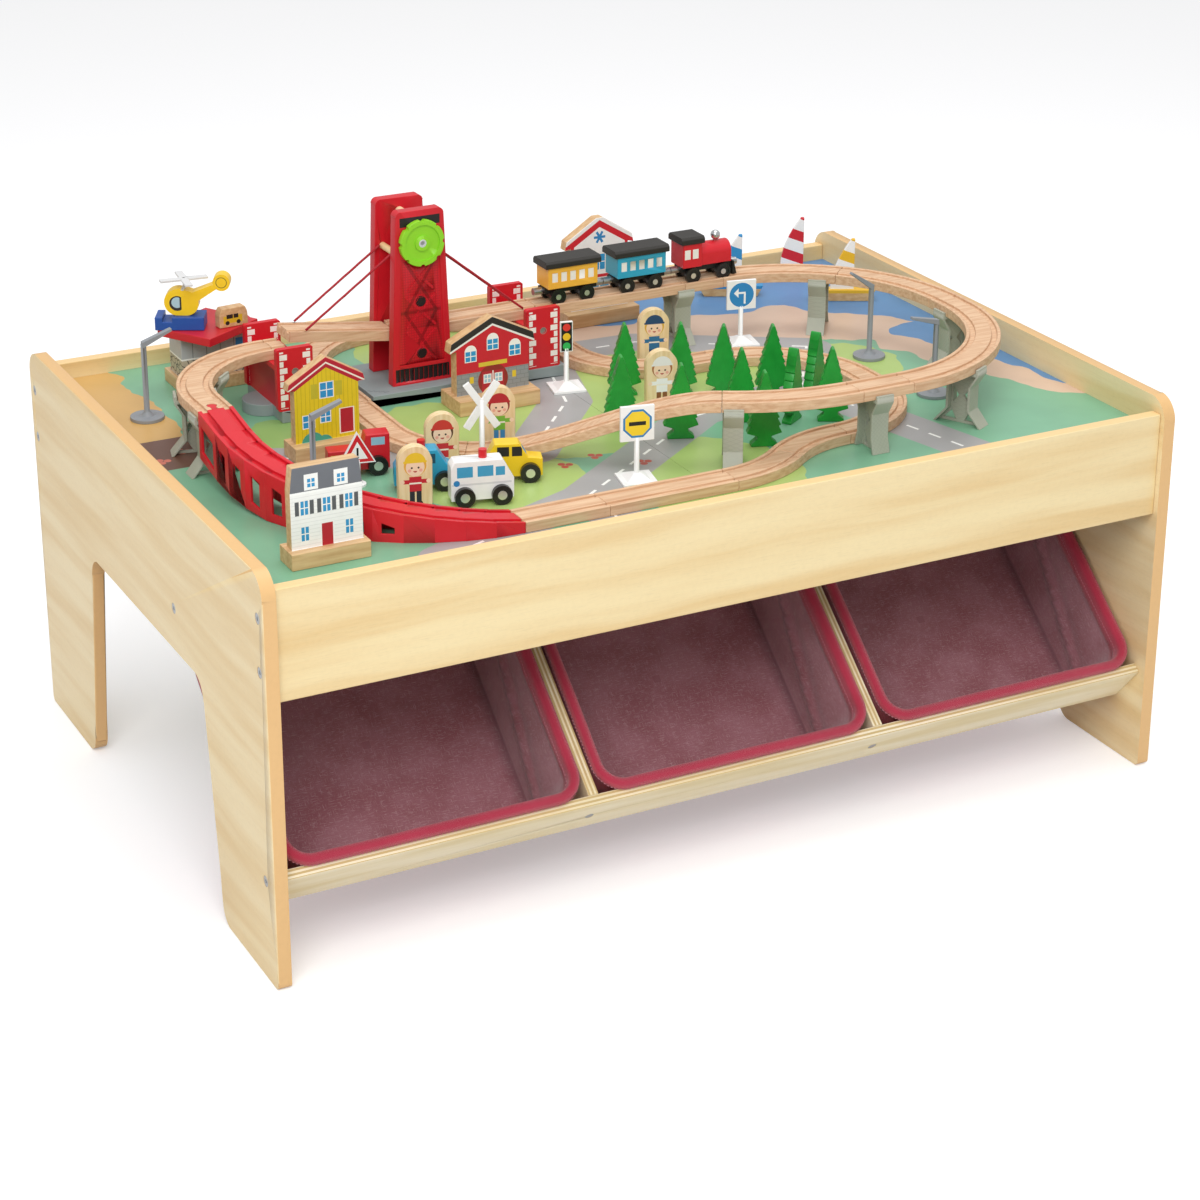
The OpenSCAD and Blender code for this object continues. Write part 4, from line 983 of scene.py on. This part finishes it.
# Each has its place and heading, body colour, windows, round marks and beacon.
vehicles = {
    "ambulance": ((-238, -212, -14), "f0f0ee",
                  [(-19, 38, 17, 12, "3f9ec6"), (3, 38, 17, 12, "3f9ec6"),
                   (19, 37, 10, 10, "3f9ec6"), (-1, 24, 64, 2.2, "d6d8d8")],
                  [(-28, 26, 3.4, "2f86c0")], (2, 50.3)),
    "yellow_car": ((-182, -168, -20), "f0c81e",
                   [(-9, 35, 13, 11, "20201e"), (6, 35, 11, 11, "20201e")], [], None),
    "blue_car": ((-274, -148, -20), "2f9fc6",
                 [(-12, 36, 13, 11, "1d4f66"), (4, 36, 13, 11, "1d4f66")], [], (-4, 46.3)),
    "truck": ((-322, -76, -12), "cc1f2a",
              [(21, 38, 15, 9, "8fb9cc"), (-16, 24, 30, 3, "f0d060")], [], None),
}
for vehicle, (at, code, panes, extra, beacon) in vehicles.items():
    take(vehicle + "_body", vehicle + "_body",
         vehicle_paint(vehicle + "_paint", code, at, panes, extra, beacon), edge=1.2)
    c, s = math.cos(math.radians(at[2])), math.sin(math.radians(at[2]))
    wheels = hub_paint(vehicle + "_wheels", [(at[0] + k * 20 * c, at[1] + k * 20 * s, at[2])
                                             for k in (-1, 1)], 433, 5)
    for end in ("rear", "front"):
        take("%s_axle_%s" % (vehicle, end), "%s_axle_%s" % (vehicle, end), wheels, edge=0.6)


# Houses: printed board fronts with painted roofs, each stuck on a bare wooden block.
def house_paint(name, x, y, wall, marks):
    p = Paint(name)
    u, v, w = p.local(x, y, 440)
    lines = p.noise(u / 60, v / 5, w / 5, 3)
    wood = p.mix(lines.ramp(0.3, 0.7), linear("dcb98a"), linear("c99f70"))
    p.colour = linear(wall)
    marks(p, u, w)
    front = p.facing(0, -1, 0.5) | p.facing(0, 1, 0.5)
    printed = p.colour
    p.colour = p.mix(front, wood, printed)
    p.lay((w < 0), wood)
    p.shade(p.grain(9, 3).ramp(0.35, 0.8), 0.95)
    fine = p.noise(u / 12, v / 0.7, w / 0.7, 2)
    return p.done(0.45, height=fine, depth=0.0001, strength=0.35, coat=0.08)


def window(p, u, w, cx, cz, wide, tall, glass="2f93c8", bars="f4f2ec"):
    p.lay(rect(u, w, cx, cz, wide + 2, tall + 2), bars)
    p.lay(rect(u, w, cx, cz, wide, tall), glass)
    p.lay(rect(u, w, cx, cz, 1.1, tall) | rect(u, w, cx, cz, wide, 1.1), bars)


def gable(u, w, apex, slope, low, high):
    """Mask of a band under the roof line, between low and high below it."""
    line = apex - abs(u) * slope - w
    return (line < high) & (line > low)


def yellow_house(p, u, w):
    p.shade(abs(u.cycle(5)) < 0.35, 0.75)
    p.lay(gable(u, w, 96, 0.6, -20, 12), "b51f30")
    p.lay(gable(u, w, 96, 0.6, 5.5, 7.5), "f2ead8")
    window(p, u, w, 0, 58, 15, 17)
    for s in (-1, 1):
        p.lay(rect(u, w, s * 14.5, 58, 8, 17), "c2b52e")
    window(p, u, w, -22, 24, 13, 14)
    window(p, u, w, -2, 27, 11, 12)
    p.lay(rect(u, w, 23, 19, 18, 30), "f0e6d8")
    p.lay(rect(u, w, 23, 19, 15, 28), "b3202e")
    p.lay(disc(u, w, -18, -2, 13) | disc(u, w, -4, -4, 10), "45a08c")


def white_house(p, u, w):
    p.lay((w > 61), "6c6f76")
    p.shade((abs(w.cycle(4)) < 0.3) & (w < 60), 0.86)
    for cx in (-16, 16):
        p.lay(rect(u, w, cx, 71, 15, 17), "f4f4f2")
        window(p, u, w, cx, 70, 8, 9)
    p.lay((w > 59) & (w < 61.5), "f8f8f6")
    for cx in (-24, 0, 24):
        window(p, u, w, cx, 44, 8, 15)
        for s in (-1, 1):
            p.lay(rect(u, w, cx + s * 8, 44, 4.4, 15), "55585c")
        window(p, u, w, cx, 16, 8, 15)
    p.lay(rect(u, w, 0, 12, 15, 26), "f4f4f2")
    p.lay(rect(u, w, 0, 12, 12, 24), "b3202e")


def fire_station(p, u, w):
    p.lay(gable(u, w, 90, 0.5, -20, 9), "2b2726")
    p.lay(gable(u, w, 90, 0.5, 8, 10.5), "eceae4")
    brick = (abs(w.cycle(5)) < 0.4) | (abs((u + ((w / 5).math("FLOOR") % 2) * 5).cycle(10)) < 0.4)
    p.lay((w < 26), "8f9293")
    p.shade((w < 26) & brick, 0.78)
    for cx, cz in ((-28, 46), (0, 57), (28, 46)):
        p.lay(disc(u, w, cx, cz + 6, 7.4), "f4f0ea")
        window(p, u, w, cx, cz, 13, 12)
    p.lay(disc(u, w, 0, 14, 19), "8f2a22")
    p.lay(rect(u, w, 0, 12, 28, 26), "b02430")
    p.lay(rect(u, w, 0, 12, 1.4, 26), "f4f0ea")
    window(p, u, w, -7, 16, 8, 9, "9fc6d6")
    window(p, u, w, 7, 16, 8, 9, "9fc6d6")
    p.lay(rect(u, w, 0, 34, 36, 5), "d8c03a")
    p.lay(rect(u, w, -27, 17, 5, 8) | rect(u, w, 27, 17, 5, 8), "e0c030")


def hospital(p, u, w):
    p.lay(gable(u, w, 119, 0.62, 5, 14), "cf2431")
    p.lay((abs(abs(u) - 37.5) < 2) & (w > 60) & (w < 88), "cf2431")
    for a in range(3):
        c, s = math.cos(a * math.pi / 3), math.sin(a * math.pi / 3)
        along = u * c + (w - 92) * s
        side = (w - 92) * c - u * s
        p.lay((abs(along) < 8) & (abs(side) < 1.6), "2f86c0")
    for cx in (-26, 0, 26):
        window(p, u, w, cx, 60, 15, 20)
    p.lay(rect(u, w, 0, 16, 26, 30), "5f9fc0")
    p.lay(rect(u, w, 0, 16, 1.6, 30), "f4f4f2")
    p.lay(rect(u, w, 0, 42, 84, 4), "cf2431")


for name, x, y, wall, marks in (
        ("house_yellow", -330, -5, "e0c520", yellow_house),
        ("house_white", -443, -279, "f2f2f0", white_house),
        ("fire_station", -101, 54, "c9202e", fire_station),
        ("hospital", 148, 267, "f2f1ee", hospital)):
    take("houses", name, house_paint(name + "_paint", x, y - 7, wall, marks), edge=0.9,
         near=(x, y), reach=26)


# Helicopter station: printed white block under a red deck, with a blue block and a small arch.
def helipad_paint():
    p = Paint("helipad_paint", "dcb98a")
    u, v, w = p.local(-356, 250, board_z, 0)
    lines = p.noise(u / 5, v / 60, w / 5, 3)
    p.colour = p.mix(lines.ramp(0.3, 0.7), linear("dcb98a"), linear("c99f70"))
    mid = (w > 16) & (w < 67.9)
    p.lay(mid, "eeeeea")
    p.lay(mid & (w > 40), "b3b7b8")
    stone = p.node("TexVoronoi", {"feature": "DISTANCE_TO_EDGE"}, Vector=p.vec(u / 9, v / 9, w / 7),
                   Scale=1)
    p.lay(mid & (w < 38), "b9ad98")
    p.lay(mid & (w < 38) & (stone < 0.06), "4c4640")
    p.lay(mid & (abs((u + 1).cycle(17)) < 0.5) & (w > 40), "7b8082")
    p.lay(mid & rect(u, w, 24, 46, 12, 22), "2f86c0")
    p.lay((w > 67.9) & (w < 78.1), "c81d2b")
    q, r, t = p.local(-402, 258, 500, -27)
    blue = (t > 0.1) & (t < 17) & (abs(r) < 15.3) & (q > -27.3) & (q < 30.3)
    p.lay(blue, "1f4fa0")
    car = (t > 3) & (t < 22) & (u > -8) & (u < 26) & (v < 6) & (p.facing(0, 1) | p.facing(0, -1))
    p.lay(car & rect(u, t, 9, 9.5, 24, 9), "d6b02a")
    p.lay(car & (rect(u, t, 5, 13, 8, 5) | rect(u, t, 13, 13, 6, 5)), "26231f")
    p.lay(car & (disc(u, t, 2, 5.5, 2.6) | disc(u, t, 16, 5.5, 2.6)), "26231f")
    p.shade(p.grain(9, 3).ramp(0.35, 0.8), 0.95)
    fine = p.grain(0.8, 2)
    return p.done(0.42, height=fine, depth=0.00008, strength=0.35, coat=0.1)


take("helipad", "helipad", helipad_paint(), edge=0.9)


# Helicopter: a yellow painted cut-out with a printed cabin, and a white plastic rotor.
def helicopter_paint():
    p = Paint("helicopter_paint", "f2c81a")
    u, _, w = p.local(-402, 258, 516, -27)
    side = p.facing(-27, -1, 0.7) | p.facing(-27, 1, 0.7)
    p.lay(disc(u, w, -1, 15, 9) & side & (u < 4), "2b2a28")
    p.lay(disc(u, w, -1, 16, 6.5) & side & (u < 2), "a9c7d2")
    p.lay(disc(u, w, 51, 40, 6.6) & side & (disc(u, w, 51, 40, 5.6) < 0.5), "8c7a1e")
    p.lay((w > 30.4) & (u > 4) & (u < 10), "c5c2ba")
    p.shade(p.grain(9, 3).ramp(0.35, 0.8), 0.95)
    peel = p.grain(0.8, 2)
    return p.done(0.32, height=peel, depth=0.00008, strength=0.35, coat=0.15)


take("helicopter_body", "helicopter_body", helicopter_paint(), edge=0.9)
rotor_white = plastic_paint("rotor_white", "d8d8d8", 0.35)
take("helicopter_rotor", "helicopter_rotor", rotor_white, edge=0.5)


# Trees: flat pine cut-outs painted a strong green, with a random tone per tree and fine darker
# speckles.
def tree_paint():
    p = Paint("tree_green", "1c9a34")
    own = p.node("NewGeometry", out="Random Per Island")
    p.colour = p.mix(p.grain(14, 3), linear("14882c"), linear("27a83e"))
    p.shade(own.ramp(0, 1.2), 0.88)
    fine = p.noise(p.x / 1.2, p.y / 1.2, p.z / 9, 2)
    p.shade(fine.ramp(0.5, 0.8), 0.9)
    return p.done(0.36, height=fine, depth=0.0002, strength=0.45, coat=0.12)


take("trees", "trees", tree_paint(), edge=0.9)


# Figures: bare maple arches, each printed with a plain child-like figure of the builder's design.
figure_looks = [
    ((-305, -190), "e8c22e", "c32733", "2b2a33", "e0a63a"),
    ((-239, -114), "c93a2e", "c8333a", "e9e4da", "5a3a26"),
    ((-148, -66), "b5262f", "76b53c", "3f86b8", "8b2a22"),
    ((72, -40), "e9e6e0", "f0efec", "8a5630", "a86a3a"),
    ((135, 95), "27486e", "2d6f9c", "223f66", "d9a83c")]


def figure_paint(name, at, hat, top, legs, hair):
    p = Paint(name)
    u, v, w = p.local(at[0], at[1], board_z, -14)
    lines = p.noise(u / 5, v / 5, w / 60, 3)
    p.colour = p.mix(lines.ramp(0.3, 0.7), linear("f0d9ae"), linear("e3c592"))
    front = p.facing(-14, -1, 0.6)

    def draw(mask, code):
        p.lay(mask & front, code)

    draw(disc(u, w, 0, 47, 12), hair)
    draw(disc(u, w, 0, 45, 10), "f3d3b4")
    draw((disc(u, w, 0, 50, 11.5)) & (w > 51), hat)
    draw(rect(u, w, 0, 51, 25, 2.2), hat)
    draw(disc(u, w, -3.6, 44.5, 1.1) | disc(u, w, 3.6, 44.5, 1.1), "2a2320")
    draw(disc(u, w, -6, 41.5, 1.8) | disc(u, w, 6, 41.5, 1.8), "e9a994")
    draw(disc(u, w, 0, 41.4, 2.2) & (w < 41), "b5483e")
    draw(rect(u, w, 0, 26, 13, 17), top)
    draw(rect(u, w, -9.5, 29, 7, 4.6) | rect(u, w, 9.5, 29, 7, 4.6), top)
    draw(disc(u, w, -14, 29, 2.4) | disc(u, w, 14, 29, 2.4), "f3d3b4")
    draw(rect(u, w, 0, 27, 13, 1.8), "f1e9d8")
    draw(rect(u, w, -3.6, 11, 5.4, 14) | rect(u, w, 3.6, 11, 5.4, 14), legs)
    draw(disc(u, w, -4.6, 3.8, 3.2) | disc(u, w, 4.6, 3.8, 3.2), "3a2a22")
    fine = p.noise(u / 0.8, v / 0.8, w / 10, 2)
    p.shade(fine.ramp(0.5, 0.85), 0.95)
    return p.done(0.45, height=fine, depth=0.0001, strength=0.35, coat=0.05)


for k, (at, hat, top, legs, hair) in enumerate(figure_looks):
    take("figures", "figure_%d" % (k + 1),
         figure_paint("figure_paint_%d" % (k + 1), at, hat, top, legs, hair), edge=2.0, near=at)


# Road signs: white plastic posts and feet with printed plates.
def sign_paint():
    p = Paint("sign_paint", "f1f1f0")
    front = p.facing(-12, -1, 0.7)
    u, v, w = p.local(0, 59, board_z, -12)
    near = (abs(u) < 30) & (abs(v) < 30)
    p.lay(near & rect(u, w, 0, 64.5, 13, 35) & front, "1c1c1c")
    for z, code in ((76, "e03a34"), (64.5, "f0c02c"), (53, "35b45a")):
        p.lay(near & disc(u, w, 0, z, 4.6) & front, code)
    u, v, w = p.local(-63, -234, board_z, -12)
    near = (abs(u) < 30) & (abs(v) < 30) & front
    octagon = ((abs(u) + abs(w - 66)) < 22.5) & (abs(u) < 16) & (abs(w - 66) < 16)
    small = ((abs(u) + abs(w - 66)) < 19.5) & (abs(u) < 13.6) & (abs(w - 66) < 13.6)
    p.lay(near & octagon, "2f7fb8")
    p.lay(near & small, "f2cf2e")
    p.lay(near & rect(u, w, 0, 66, 19, 4.5), "1c1c1c")
    u, v, w = p.local(264, 108, board_z, -12)
    near = (abs(u) < 30) & (abs(v) < 30) & front
    p.lay(near & disc(u, w, 0, 62.5, 15.5), "2c86c2")
    p.lay(near & (rect(u, w, 4, 58, 2.4, 14) | rect(u, w, 0, 65, 10, 2.4)), "f4f4f4")
    p.lay(near & ((abs(w - 65) + (-5 - u) * 1.0).math("LESS_THAN", 5.0) & (u < -4) & (u > -10)
                  & ((abs(w - 65) * 1.0) < (u + 10))), "f4f4f4")
    u, v, w = p.local(-337, -112, 448, -12)
    near = (abs(u) < 30) & (abs(v) < 30) & front
    tri = (abs(u) * 1.8 + w) < 33.5
    hole = ((abs(u) * 1.8 + w) < 25) & (w > 5)
    p.lay(near & tri & (w > 1.5), "d3242f")
    p.lay(near & hole, "f4f4f2")
    p.lay(near & (rect(u, w, 0, 13.5, 2.2, 9) | disc(u, w, 0, 7, 1.3)), "1c1c1c")
    peel = p.grain(0.8, 2)
    p.shade(p.grain(9, 3).ramp(0.35, 0.8), 0.96)
    return p.done(0.35, height=peel, depth=0.00006, strength=0.3)


take("road_signs", "road_signs", sign_paint(), edge=0.4)
take("street_lamps", "street_lamps", plastic_paint("lamp_grey", "8d9196", 0.42), edge=0.5)


# Sailing boats: maple hulls with painted sails in three stripes.
def boat_paint():
    p = Paint("boat_paint")
    lines = p.noise(p.x / 40, p.y / 5, p.z / 5, 3)
    p.colour = p.mix(lines.ramp(0.3, 0.7), linear("e6c08a"), linear("d3a56c"))
    for (x, y), code in (((347, 277), "2f8fc8"), ((457, 306), "cf2431"), ((466, 196), "e8b72a")):
        u, v, w = p.local(x, y, board_z, -27)
        near = (abs(u) < 44) & (abs(v) < 20) & (w > 15.2)
        p.lay(near, "f2f1ee")
        stripe = abs((w + u * 0.35).cycle(30)) < 7
        p.lay(near & stripe, code)
        hull = (abs(u) < 44) & (abs(v) < 20) & (w < 15.3) & (w > 10.5)
        p.lay(hull, code)
    fine = p.grain(0.9, 2)
    p.shade(fine.ramp(0.5, 0.85), 0.95)
    return p.done(0.42, height=fine, depth=0.0001, strength=0.3, coat=0.1)


take("sail_boats", "sail_boats", boat_paint(), edge=0.8)
